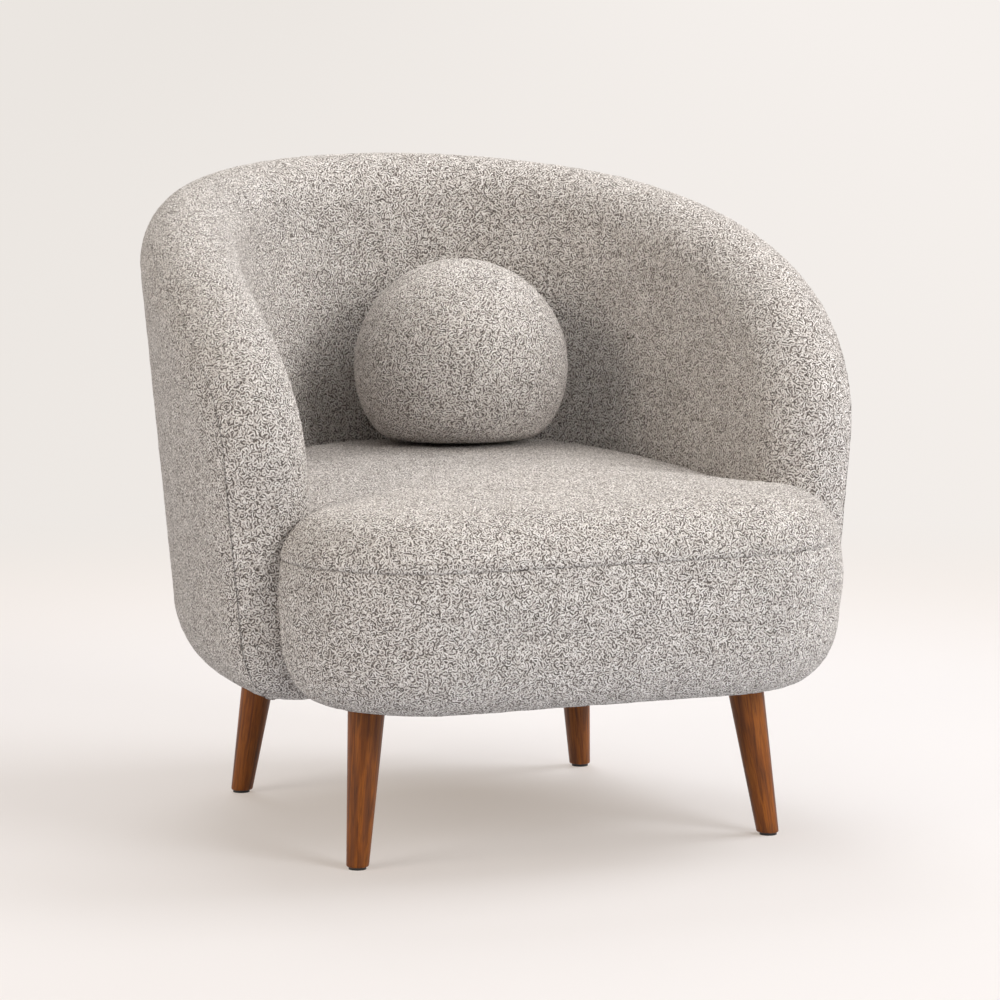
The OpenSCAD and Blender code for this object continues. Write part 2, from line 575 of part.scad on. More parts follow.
// Seat covers and seat foam
front_half = front_steps + corner_steps + 1;
hug_end = front_half + hug_steps - 2;
hug_row = 2;
module seat_top_cover() color(cover_color)
    skin(seat_layer(0), seat_layer(fabric_t), concat(seat_cells(0, ring_n, seam_row, seat_rows),
        seat_fan()));
module seat_front_cover() color(cover_color)
    skin(seat_layer(0), seat_layer(fabric_t),
        concat(seat_cells(0, front_half, 0, seam_row), seat_cells(ring_n - front_half, ring_n, 0, seam_row),
            seat_cells(front_half, hug_end, hug_row, seam_row),
            seat_cells(ring_n - hug_end, ring_n - front_half, hug_row, seam_row)));
module seat_foam() color("#f0e2a4") difference() {
    polyhedron(seat_layer(fabric_t + seat_pad_gap),
        concat(all_halves(seat_cells(0, ring_n, 0, seat_rows)), seat_fan(), [[for (i = [0:ring_n - 1]) i]]),
        convexity = 8);
    well_top = felt_low + felt_t + touch_gap;
    translate([0, 0, base_z]) linear_extrude(well_top - base_z) front_outline(pad_gap);
    translate([-seat_w, arm_y - half_wall, base_z]) cube([2 * seat_w, 2 * tub_back, well_top - base_z]);
}

// Dust cover, tacked to the base inside the turned-in fabric
tack_d = 1.8;
tack_l = 10;
tack_head_d = 8;
tack_head_t = 1;
tack_in = 8;
tacks_n = 20;
dust_gap = 1.5;
dust_off = half_wall - tub_foot_in - dust_gap;
front_tacks_n = 7;
tack_spots = concat(
    [for (k = [1:tacks_n]) plan_at(path_len * (k - 0.5) / tacks_n, sheet_z, dust_off - tack_in)],
    [for (k = [0:front_tacks_n - 1])
        [(rail_x - rail_r) * (2 * k / (front_tacks_n - 1) - 1), tack_in + rail_t / 2 - rail_front]]);
module dust_cover() color("#2b2b2b") difference() {
    translate([0, 0, sheet_z - dust_t]) linear_extrude(dust_t)
        polygon(concat(wall_ring(base_z, dust_off), front_ring(0)));
    for (s = leg_spots) along_leg(s) cylinder(d = bolt_d + 2 * fit_gap, h = 2 * floor_z, $fn = 32);
    for (q = tack_spots) translate([q.x, q.y, sheet_z - dust_t - cut_over])
        cylinder(d = tack_d, h = dust_t + 2 * cut_over, $fn = 24);
}
module dust_cover_tacks() color("#3a3a3c") for (q = tack_spots)
    translate([q.x, q.y, sheet_z - dust_t - tack_head_t]) {
        cylinder(d = tack_head_d, h = tack_head_t, $fn = 32);
        cylinder(d = tack_d - 2 * fit_gap, h = tack_head_t + dust_t + tack_l - fit_gap, $fn = 24);
    }

// Leg fixings
module leg_bolts() color("#a9abae") for (s = leg_spots) along_leg(s)
    translate([0, 0, leg_long - bolt_in_leg + fit_gap])
        cylinder(d = bolt_d - 2 * fit_gap, h = bolt_top - leg_long + bolt_in_leg + nut_flange_t, $fn = 32);
module leg_t_nuts() color("#c2b280") for (s = leg_spots) along_leg(s) difference() {
    union() {
        translate([0, 0, nut_low + fit_gap])
            cylinder(d = nut_d, h = bolt_top - nut_low - fit_gap, $fn = 32);
        translate([0, 0, bolt_top - nut_flange_t]) cylinder(d = nut_flange_d, h = nut_flange_t, $fn = 48);
    }
    cylinder(d = bolt_d, h = 2 * bolt_top, $fn = 32);
}
module foot_glides() color("#1f1f20") for (s = leg_spots) translate([s.x, s.y, 0]) {
    cylinder(d = glide_d, h = glide_t, $fn = 48);
    cylinder(d = nail_d - 2 * fit_gap, h = glide_t + glide_nail - fit_gap, $fn = 24);
}
module front_left_leg() leg(leg_spots[0]);
module front_right_leg() leg(leg_spots[1]);
module rear_left_leg() leg(leg_spots[2]);
module rear_right_leg() leg(leg_spots[3]);

// Ball cushion
module ball_cover() color(cover_color) difference() {
    ball(ball_r);
    ball(ball_r - fabric_t);
}
module ball_filling() color("#faf6ea") ball(ball_r - fabric_t - pad_gap);

outside_back_cover();
inside_back_cover();
left_arm_cover();
right_arm_cover();
back_foam();
left_arm_foam();
right_arm_foam();
tub_panel();
tub_panel_screws();
seat_top_cover();
seat_front_cover();
seat_foam();
spring_felt();
seat_springs();
spring_clips();
front_rail();
side_rails();
rear_rail();
corner_blocks();
rail_screws();
base_panel();
dust_cover();
dust_cover_tacks();
leg_t_nuts();
leg_bolts();
front_left_leg();
front_right_leg();
rear_left_leg();
rear_right_leg();
foot_glides();
ball_cover();
ball_filling();
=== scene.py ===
"""Looks of a tub chair in looped fabric on turned walnut legs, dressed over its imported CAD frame."""
from __future__ import annotations

import json
import logging
import math
from dataclasses import dataclass, field
from enum import Enum
from functools import partial
from typing import Any, Callable

import bpy
import numpy as np
from mathutils import Matrix, Vector

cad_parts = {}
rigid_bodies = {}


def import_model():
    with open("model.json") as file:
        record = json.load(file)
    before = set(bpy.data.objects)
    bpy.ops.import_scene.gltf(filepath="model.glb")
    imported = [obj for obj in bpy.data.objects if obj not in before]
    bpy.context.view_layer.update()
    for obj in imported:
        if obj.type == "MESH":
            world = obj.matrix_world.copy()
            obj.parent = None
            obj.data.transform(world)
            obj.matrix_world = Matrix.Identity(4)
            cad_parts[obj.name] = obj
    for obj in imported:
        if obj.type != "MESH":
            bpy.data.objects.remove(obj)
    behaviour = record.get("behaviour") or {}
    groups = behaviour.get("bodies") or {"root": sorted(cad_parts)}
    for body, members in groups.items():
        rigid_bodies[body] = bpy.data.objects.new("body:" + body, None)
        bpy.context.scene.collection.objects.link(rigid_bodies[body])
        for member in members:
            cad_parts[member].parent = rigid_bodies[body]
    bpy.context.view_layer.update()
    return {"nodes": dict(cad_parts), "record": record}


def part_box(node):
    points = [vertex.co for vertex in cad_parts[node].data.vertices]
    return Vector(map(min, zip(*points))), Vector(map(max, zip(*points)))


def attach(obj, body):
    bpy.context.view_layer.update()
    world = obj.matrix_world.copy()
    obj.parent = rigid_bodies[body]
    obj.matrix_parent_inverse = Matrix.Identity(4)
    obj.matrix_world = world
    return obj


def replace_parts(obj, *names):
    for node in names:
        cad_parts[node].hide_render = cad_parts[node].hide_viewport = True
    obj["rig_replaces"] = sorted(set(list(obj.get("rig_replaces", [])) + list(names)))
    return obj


Array = np.ndarray
join = np.concatenate
Adder = Callable[..., Any]
Material = bpy.types.Material
Piece = bpy.types.Object
Point = tuple[float, float, float]
log = logging.getLogger("tub_chair")
MM = 0.001
HEM_UP = 3.0
SMOOTH = {"interpolation_type": "SMOOTHSTEP"}


class Slot(Enum):
    """Names of the record's material slots for the new pieces of fabric and of walnut."""

    FABRIC = "boucle_fabric"
    WALNUT = "walnut_stained_wood"


def linear(hex_colour: str) -> tuple[float, float, float, float]:
    """Turn six hex digits of an sRGB colour into linear RGBA with an alpha of 1.

    Args:
        hex_colour: the six digits.

    Returns:
        Red, green, blue and alpha.
    """
    parts = [int(hex_colour[i:i + 2], 16) / 255 for i in (0, 2, 4)]
    red, green, blue = (c / 12.92 if c <= 0.04045 else ((c + 0.055) / 1.055) ** 2.4 for c in parts)
    return red, green, blue, 1.0


def add_node(material: Any, kind: str, inputs: dict[Any, Any] | None = None,
             settings: dict[str, Any] | str | None = None) -> Any:
    """Add one shader node with its settings, values and links.

    Args:
        material: the material or world that gets the node.
        kind: the node's type name without the word ShaderNode.
        inputs: per input name or number, a value, an output socket, or a node whose first output feeds it. The
            numbers 1 to 4 of MapRange are the range that it reads and the range that it gives.
        settings: the node's own properties, or the name of its operation.

    Returns:
        The new node.
    """
    tree = material.node_tree
    node = tree.nodes.new("ShaderNode" + kind)
    for name, value in ({"operation": settings} if isinstance(settings, str) else settings or {}).items():
        setattr(node, name, value)
    for name, value in (inputs or {}).items():
        if isinstance(value, bpy.types.Node):
            value = value.outputs[0]
        if isinstance(value, bpy.types.NodeSocket):
            tree.links.new(value, node.inputs[name])
        else:
            node.inputs[name].default_value = value
    return node


def set_ramp(node: Any, stops: list[tuple[float, str]]) -> None:
    """Give a colour ramp its stops.

    Args:
        node: the ramp node.
        stops: places from 0 to 1 and their sRGB hex colours.
    """
    ramp = node.color_ramp
    while len(ramp.elements) < len(stops):
        ramp.elements.new(0.5)
    for element, (place, colour) in zip(ramp.elements, stops):
        element.position = place
        element.color = linear(colour)


@dataclass(frozen=True)
class Finish:
    """A finish by name, with its lengths in metres."""

    name: str

    def build(self) -> Material:
        """Make the material: an empty tree, the finish's own nodes and the output.

        Returns:
            The material.
        """
        material = bpy.data.materials.new(self.name)
        material.use_nodes = True
        material.node_tree.nodes.clear()
        add = partial(add_node, material)
        add("OutputMaterial", {"Surface": self.surface(add)})
        return material

    def surface(self, add: Adder) -> Any:
        """Add the finish's nodes and return its shader."""
        raise NotImplementedError


@dataclass(frozen=True)
class LoopedBoucle(Finish):
    """Boucle cloth of looped wool yarn: small pale curls, with shade painted into the hollows between them and a
    highlight painted on their crests, dull and soft at the edges.

    The yarn is a little thicker than real, so that its curls show in the render.
    """

    name: str = "looped_boucle"
    curl: float = 0.0052
    yarn: float = 0.0032
    bend: float = 0.0042
    relief: float = 0.0023
    sway: float = 0.0045
    sway_reach: float = 0.003
    cloud: float = 0.05
    phase_spread: float = 7.3
    least_lift: float = 0.8
    edge_fade: tuple[float, float] = (0.45, 0.8)
    seam_shade: float = 0.34
    # Ramp stops by the curls' height: from painted shade in the hollows, through the yarn's own colour, to a
    # painted highlight on the crests
    hollow_painted_shade: str = "221D1A"
    ground: str = "7F7771"
    side: str = "A19993"
    yarn_edge: str = "DCD5D0"
    crest_painted_highlight: str = "FFFBF8"
    sheen: str = "F4F0EA"

    def curls(self, add: Adder, place: Any, lay: Any, seed: float, size: float, whole: bool) -> Any:
        """Add one layer of yarn curls: arcs about a random centre near each of many scattered points.

        The centre's distance is measured along the cloth. The height is 1 - (distance to the nearest arc's
        middle / half the yarn's pitch)^2, times the cell's own lift, and falls off at the cell's edge unless the
        layer is whole.

        Args:
            add: adds a node to the cloth's material.
            place: the warped position.
            lay: the cloth's normal.
            seed: how far this layer is shifted.
            size: distance between the scattered points in metres.
            whole: whether the layer covers all of the cloth.

        Returns:
            The layer's height from 0 to 1.
        """
        moved = add("VectorMath", {0: place, 1: (seed, seed * 1.7, seed * 0.6)}, "ADD")
        cell = add("TexVoronoi", {"Vector": moved, "Scale": 1 / size})
        away = add("VectorMath", {0: moved, 1: cell.outputs["Position"]}, "SUBTRACT")
        side = add("VectorMath", {0: cell.outputs["Color"], 1: (0.5, 0.5, 0.5)}, "SUBTRACT")
        centre = add("VectorMath", {0: side, 1: (2 * self.bend,) * 3, 2: away}, "MULTIPLY_ADD")
        above = add("VectorMath", {0: centre, 1: lay}, "DOT_PRODUCT")
        lifted = add("VectorMath", {0: lay, "Scale": above.outputs["Value"]}, "SCALE")
        flat = add("VectorMath", {0: centre, 1: lifted}, "SUBTRACT")
        radius = add("VectorMath", {0: flat}, "LENGTH").outputs["Value"]
        parts = add("SeparateColor", {0: cell.outputs["Color"]})
        shift = add("Math", {0: parts, 1: self.phase_spread}, "MULTIPLY")
        phase = add("Math", {0: radius, 1: 1 / self.yarn, 2: shift}, "MULTIPLY_ADD")
        off = add("Math", {0: phase, 1: 0.5}, "PINGPONG")
        square = add("Math", {0: off, 1: off}, "MULTIPLY")
        arc = add("Math", {0: square, 1: -4.0, 2: 1.0}, "MULTIPLY_ADD")
        lift = add("MapRange", {0: parts.outputs[1], 3: self.least_lift, 4: 1.0})
        height = add("Math", {0: arc, 1: lift}, "MULTIPLY")
        if whole:
            return height
        near, far = self.edge_fade
        edge = add("MapRange", {0: cell.outputs["Distance"], 1: near, 2: far, 3: 1.0, 4: 0.0}, SMOOTH)
        return add("Math", {0: height, 1: edge}, "MULTIPLY")

    def surface(self, add: Adder) -> Any:
        """Take colour and bump from the higher of two layers of curls, with shade and highlight painted by their
        height, a slow random change of tone, and shade painted along the seams.

        Args:
            add: adds a node to the material.

        Returns:
            The shader.
        """
        place = add("TexCoord").outputs["Object"]
        lay = add("Attribute", settings={"attribute_name": "lay"}).outputs["Vector"]
        sway = add("TexNoise", {"Vector": place, "Scale": 1 / self.sway, "Detail": 0.0})
        centred = add("VectorMath", {0: sway.outputs["Color"], 1: (0.5, 0.5, 0.5)}, "SUBTRACT")
        pushed = add("VectorMath", {0: centred, 1: (self.sway_reach,) * 3, 2: place}, "MULTIPLY_ADD")
        under = self.curls(add, pushed, lay, 0.31, self.curl, True)
        over = self.curls(add, pushed, lay, 1.27, self.curl * 0.93, False)
        height = add("Math", {0: under, 1: over}, "MAXIMUM")
        bump = add("Bump", {"Strength": 1.0, "Distance": self.relief, "Height": height})
        # Colour by the curls' height: the yarn's own colour, with painted shade in the hollows and a painted
        # highlight on the crests
        tone = add("ValToRGB", {0: height})
        set_ramp(tone, [(0.0, self.hollow_painted_shade), (0.3, self.ground), (0.6, self.side), (0.8, self.yarn_edge),
                        (1.0, self.crest_painted_highlight)])
        cloud = add("TexNoise", {"Vector": place, "Scale": 1 / self.cloud, "Detail": 2.0})
        shade = add("MapRange", {0: cloud, 1: 0.3, 2: 0.7, 3: 0.96, 4: 1.03})
        # Painted shade: the colour is darkened along the seams, where the folds lie in shade
        seam = add("Attribute", settings={"attribute_name": "seam"})
        sunk = add("MapRange", {0: seam.outputs["Fac"], 3: 1.0, 4: self.seam_shade})
        amount = add("Math", {0: shade, 1: sunk}, "MULTIPLY")
        colour = add("VectorMath", {0: tone, "Scale": amount}, "SCALE")
        dull = add("MapRange", {0: height, 3: 0.98, 4: 0.86})
        cloth = add("BsdfPrincipled", {
            "Base Color": colour, "Roughness": dull, "Normal": bump, "Specular IOR Level": 0.2,
            "Sheen Weight": 0.15, "Sheen Roughness": 0.5, "Sheen Tint": linear(self.sheen)})
        return cloth


@dataclass(frozen=True)
class SatinWalnut(Finish):
    """Turned walnut, stained and lacquered to satin: brown with long dark streaks and fine pores along the leg.

    A streak and a pore are drawn out along the leg by one over their share.
    """

    name: str = "satin_walnut"
    streak: float = 0.006
    streak_share: float = 0.05
    pore: float = 0.0011
    pore_share: float = 0.035
    patch: float = 0.05
    tones: tuple[str, ...] = ("552A06", "7F430C", "985513", "683507")

    def surface(self, add: Adder) -> Any:
        """Take colour from the streaks, darker at the pores and in slow patches, and bump from the pores.

        Args:
            add: adds a node to the material.

        Returns:
            The shader.
        """
        along = add("Attribute", settings={"attribute_name": "turned"}).outputs["Vector"]
        drawn = add("Mapping", {"Vector": along, "Scale": (1.0, 1.0, self.streak_share)})
        bands = add("TexNoise", {"Vector": drawn, "Scale": 1 / self.streak, "Detail": 5.0, "Distortion": 0.6})
        tone = add("ValToRGB", {0: bands})
        set_ramp(tone, list(zip((0.28, 0.47, 0.6, 0.78), self.tones)))
        thin = add("Mapping", {"Vector": along, "Scale": (1.0, 1.0, self.pore_share)})
        pores = add("TexNoise", {"Vector": thin, "Scale": 1 / self.pore, "Detail": 2.0})
        dark = add("MapRange", {0: pores, 1: 0.34, 2: 0.52, 3: 0.66, 4: 1.0})
        patch = add("TexNoise", {"Vector": along, "Scale": 1 / self.patch, "Detail": 2.0})
        wear = add("MapRange", {0: patch, 1: 0.3, 2: 0.7, 3: 0.88, 4: 1.12})
        amount = add("Math", {0: dark, 1: wear}, "MULTIPLY")
        colour = add("VectorMath", {0: tone, "Scale": amount}, "SCALE")
        gloss = add("MapRange", {0: bands, 3: 0.34, 4: 0.5})
        bump = add("Bump", {"Strength": 0.35, "Distance": 0.0003, "Height": pores})
        wood = add("BsdfPrincipled", {
            "Base Color": colour, "Roughness": gloss, "Normal": bump, "IOR": 1.5, "Specular IOR Level": 0.3,
            "Coat Weight": 0.06, "Coat Roughness": 0.3})
        return wood


@dataclass(frozen=True)
class PlainStock(Finish):
    """A hidden or small part's stock with its own fleck: two tones of a stretched noise, and its relief."""

    dark: str
    light: str
    fleck: float
    rough: float
    metallic: float = 0.0
    relief: float = 0.0002
    stretch: Point = (1.0, 1.0, 1.0)

    def surface(self, add: Adder) -> Any:
        """Take colour, roughness and bump from one stretched noise.

        Args:
            add: adds a node to the material.

        Returns:
            The shader.
        """
        place = add("TexCoord").outputs["Object"]
        drawn = add("Mapping", {"Vector": place, "Scale": self.stretch})
        fleck = add("TexNoise", {"Vector": drawn, "Scale": 1 / self.fleck, "Detail": 3.0})
        tone = add("ValToRGB", {0: fleck})
        set_ramp(tone, [(0.3, self.dark), (0.7, self.light)])
        bump = add("Bump", {"Strength": 0.6, "Distance": self.relief, "Height": fleck})
        wear = add("MapRange", {0: fleck, 3: self.rough - 0.06, 4: self.rough + 0.06})
        stock = add("BsdfPrincipled", {
            "Base Color": tone, "Roughness": wear, "Metallic": self.metallic, "Normal": bump})
        return stock


@dataclass(frozen=True)
class BlackCambric(Finish):
    """Black spun cambric under a chair: thin bonded threads in a fine square grid, dull and nearly black."""

    name: str = "black_cambric"
    thread: float = 0.0016

    def surface(self, add: Adder) -> Any:
        """Take colour and bump from the higher of two sets of waves, one wave a metre at a scale of 0.314.

        Args:
            add: adds a node to the material.

        Returns:
            The shader.
        """
        place = add("TexCoord").outputs["Object"]
        threads = {"Vector": place, "Scale": 0.314 / self.thread, "Distortion": 0.8, "Detail": 1.0}
        across, along = (add("TexWave", threads, {"bands_direction": axis}).outputs["Fac"] for axis in "XY")
        height = add("Math", {0: across, 1: along}, "MAXIMUM")
        tone = add("ValToRGB", {0: height})
        set_ramp(tone, [(0.2, "101010"), (0.9, "2B2B2C")])
        bump = add("Bump", {"Strength": 0.7, "Distance": 0.0004, "Height": height})
        cloth = add("BsdfPrincipled", {
            "Base Color": tone, "Roughness": 0.9, "Normal": bump, "Specular IOR Level": 0.3})
        return cloth


def plain_to(add: Adder) -> Any:
    """Add the mask of rays that see the backdrop's plain tone: the camera's, and those of gloss and glass.

    Args:
        add: adds a node to the paper's material or to the room.

    Returns:
        The node whose value is 1 for such a ray and 0 for others.
    """
    path = add("LightPath").outputs
    gloss = add("Math", {0: path["Is Glossy Ray"], 1: path["Is Transmission Ray"]}, "MAXIMUM")
    return add("Math", {0: path["Is Camera Ray"], 1: gloss}, "MAXIMUM")


@dataclass(frozen=True)
class StudioPaper(Finish):
    """Matt seamless paper: warm white, painted a touch lighter to the right where more light falls, with a warm
    glow painted over it near the object that lightens and warms the shadow, and of one even tone further off.
    """

    name: str = "studio_paper"
    # Plain tone, painted a touch lighter to the right, where more light falls
    left: str = "EBE6E1"
    right: str = "F5F0EC"
    # The lit paper's colour: painted cool, and a little darker to the right against the stronger light there, to
    # offset the painted glow
    lit_left: str = "E7EAF1"
    lit_right: str = "E3E6ED"
    # Colour of the painted glow near the object, warm so that the shadow looks warmer
    painted_warm_glow: str = "FDEEE0"
    rightwards: Point = (0.924, -0.383, 0.0)
    half_width: float = 2.2
    near: float = 1.0
    far: float = 2.6
    # Share of the painted glow over the paper near the object
    painted_glow_share: float = 0.42
    fibres_per_m: float = 900.0

    def surface(self, add: Adder) -> Any:
        """Mix lit paper, which shows near the object, with its plain tone to the camera further off. Near the
        object a share of a warm glow is painted over the lit paper, which makes the shadow lighter and warmer.

        Args:
            add: adds a node to the material.

        Returns:
            The shader.
        """
        place = add("TexCoord").outputs["Object"]
        across = add("VectorMath", {0: place, 1: self.rightwards}, "DOT_PRODUCT")
        side = add("MapRange", {0: across.outputs["Value"], 1: -self.half_width, 2: self.half_width}, SMOOTH)
        tone = add("ValToRGB", {0: side})
        set_ramp(tone, [(0.0, self.left), (1.0, self.right)])
        sheet = add("ValToRGB", {0: side})
        set_ramp(sheet, [(0.0, self.lit_left), (1.0, self.lit_right)])
        fibre = add("TexNoise", {"Vector": place, "Scale": self.fibres_per_m, "Detail": 2.0})
        bump = add("Bump", {"Strength": 0.1, "Distance": 0.0002, "Height": fibre})
        paper = add("BsdfPrincipled", {
            "Base Color": sheet, "Roughness": 0.95, "Specular IOR Level": 0.0, "Normal": bump})
        length = add("VectorMath", {0: place}, "LENGTH").outputs["Value"]
        off = add("MapRange", {0: length, 1: self.near, 2: self.far}, SMOOTH)
        # Painted glow: near the object a share of warm glow lies over the paper for the camera, lightening and
        # warming the shadow; further off only the plain tone shows
        painted_glow_colour = add("Mix", {0: off, 6: linear(self.painted_warm_glow), 7: tone}, {"data_type": "RGBA"}).outputs[2]
        plain = add("Emission", {"Color": painted_glow_colour, "Strength": 1.0})
        kept = add("MapRange", {0: off, 3: self.painted_glow_share, 4: 1.0})
        share = add("Math", {0: kept, 1: plain_to(add)}, "MULTIPLY")
        return add("MixShader", {0: share, 1: paper, 2: plain})


def lattice_noise(points: Array, period: float, seed: int) -> Array:
    """Smooth random height: random values on a cubic lattice, mixed with a smooth step along each axis.

    A lattice point's value is picked from a table by the exclusive or of its numbers times three primes.

    Args:
        points: places as rows of x, y, z.
        period: spacing of the lattice in the same unit.
        seed: picks the random values.

    Returns:
        A height from -1 to 1 for each row.
    """
    size, shift, primes = 4096, 1000, np.array([73856093, 19349663, 83492791])
    table = np.random.default_rng(seed).uniform(-1, 1, size)
    scaled = points / period + shift
    cell = np.floor(scaled).astype(np.int64)
    part = scaled - cell
    part = part * part * (3 - 2 * part)
    total = np.zeros(len(points))
    for corner in range(8):
        step = np.array([corner & 1, corner >> 1 & 1, corner >> 2 & 1])
        value = table[np.bitwise_xor.reduce((cell + step) * primes, axis=1) % size]
        total += value * np.prod(np.where(step, part, 1 - part), axis=1)
    return total


def grid_cells(ids: Array) -> Array:
    """Four-cornered cells of a grid of point numbers, wound from the first axis to the second."""
    return np.stack([ids[:-1, :-1], ids[1:, :-1], ids[1:, 1:], ids[:-1, 1:]], axis=-1).reshape(-1, 4)


def closed_round(ids: Array) -> Array:
    """A grid of point numbers with its first column again at the end."""
    return join([ids, ids[:, :1]], axis=1)


def point_normals(points: Array, cells: Array) -> Array:
    """Normals of a mesh's points: the crossed diagonals of the cells about each, summed, at unit length.

    Args:
        points: places as rows of x, y, z.
        cells: rows of four point numbers.

    Returns:
        A unit direction for each point.
    """
    corner = points[cells]
    cross = np.cross(corner[:, 2] - corner[:, 0], corner[:, 3] - corner[:, 1])
    total = np.zeros_like(points)
    for k in range(4):
        np.add.at(total, cells[:, k], cross)
    return total / np.maximum(np.linalg.norm(total, axis=1, keepdims=True), 1e-9)


def with_plain_rest(seam: Array, normals: Array, count: int) -> tuple[Array, Array]:
    """Lengthen both to a count of points: those added lie away from any seam and face downwards."""
    rest = count - len(seam)
    return join([seam, np.zeros(rest)]), join([normals, np.tile([0.0, 0.0, -1.0], (rest, 1))])


def folded_under(points: Array, ids: Array, inwards: Array) -> tuple[Array, Array]:
    """Turn a panel's lower edge in under the base: a strip that moves inwards, and up by HEM_UP in mm.

    Args:
        points: all points so far.
        ids: the edge's point numbers in order.
        inwards: how far each of them moves.

    Returns:
        The strip's cells and its points.
    """
    strip = points[ids] + inwards + np.array([0, 0, HEM_UP])
    return grid_cells(np.stack([ids, len(points) + np.arange(len(ids))], -1)), strip


def with_marks(values: Array, mark: float) -> Array:
    """Add close stations about a seam's place, so that its fold is drawn finely.

    Args:
        values: the even stations.
        mark: the seam's place.

    Returns:
        All stations in order, with none left too near the seam's own.
    """
    close, clear = np.array([-4.5, -3.0, -2.0, -1.2, -0.5, 0.0, 0.5, 1.2, 2.0, 3.0, 4.5]), 5.2
    return np.unique(join([values[np.abs(values - mark) > clear], mark + close]))


def fold_depth(away: Array) -> Array:
    """How far cloth is drawn in at a distance from a seam, in mm: a narrow fold within a shallow valley."""
    fold_w, valley_w, valley_depth = 1.3, 7.0, 0.5
    return np.exp(-(away / fold_w) ** 2) + valley_depth * np.exp(-(away / valley_w) ** 2)


def seam_line(away: Array) -> Array:
    """Nearness to a seam from 0 to 1: a bell over 1 mm each way."""
    return np.exp(-away ** 2)


def pile(points: Array) -> Array:
    """Unevenness of the padded cloth in mm: small tufts of the loops on slow swells of the padding.

    Each wave has its height, its spacing and its seed, and the sum is set in so that it adds little girth.
    """
    waves, set_in = ((0.45, 6.5, 3), (0.25, 15.0, 5), (0.8, 150.0, 7)), 0.4
    return sum(height * lattice_noise(points, spacing, seed) for height, spacing, seed in waves) - set_in


def make_piece(name: str, points: Array, cells: Array, material: Material, seam: Array | None = None,
               lay: Array | None = None, turned: Array | None = None) -> Piece:
    """Make a smooth mesh object from points in mm and its cells.

    Args:
        name: the piece's name.
        points: all points, as rows of x, y, z in mm; those that no cell uses are left out.
        cells: rows of four point numbers, a triangle repeats its last.
        material: its finish.
        seam: how much shade is painted along a seam, from 0 to 1, per point.
        lay: the cloth's normal before its unevenness, per point.
        turned: places along a turned leg in metres, per point.

    Returns:
        The object, at the origin.
    """
    used, flat = np.unique(cells, return_inverse=True)
    flat = flat.reshape(cells.shape)
    three = flat[:, 2] == flat[:, 3]
    size = np.where(three, 3, 4)
    keep = np.ones(flat.shape, bool)
    keep[three, 3] = False
    corners = flat[keep]
    mesh = bpy.data.meshes.new(name)
    mesh.vertices.add(len(used))
    mesh.vertices.foreach_set("co", (points[used] * MM).astype(np.float32).ravel())
    mesh.loops.add(len(corners))
    mesh.loops.foreach_set("vertex_index", corners.astype(np.int32))
    mesh.polygons.add(len(size))
    mesh.polygons.foreach_set("loop_start", join([[0], np.cumsum(size)[:-1]]).astype(np.int32))
    mesh.polygons.foreach_set("loop_total", size.astype(np.int32))
    mesh.polygons.foreach_set("use_smooth", np.ones(len(size), bool))
    for title, kind, slot, rows in (("seam", "FLOAT", "value", seam), ("lay", "FLOAT_VECTOR", "vector", lay),
                                    ("turned", "FLOAT_VECTOR", "vector", turned)):
        if rows is not None:
            marks = mesh.attributes.new(title, kind, "POINT").data
            marks.foreach_set(slot, rows[used].astype(np.float32).ravel())
    mesh.materials.append(material)
    mesh.update(calc_edges=True)
    mesh.validate()
    piece = bpy.data.objects.new(name, mesh)
    bpy.context.scene.collection.objects.link(piece)
    return piece


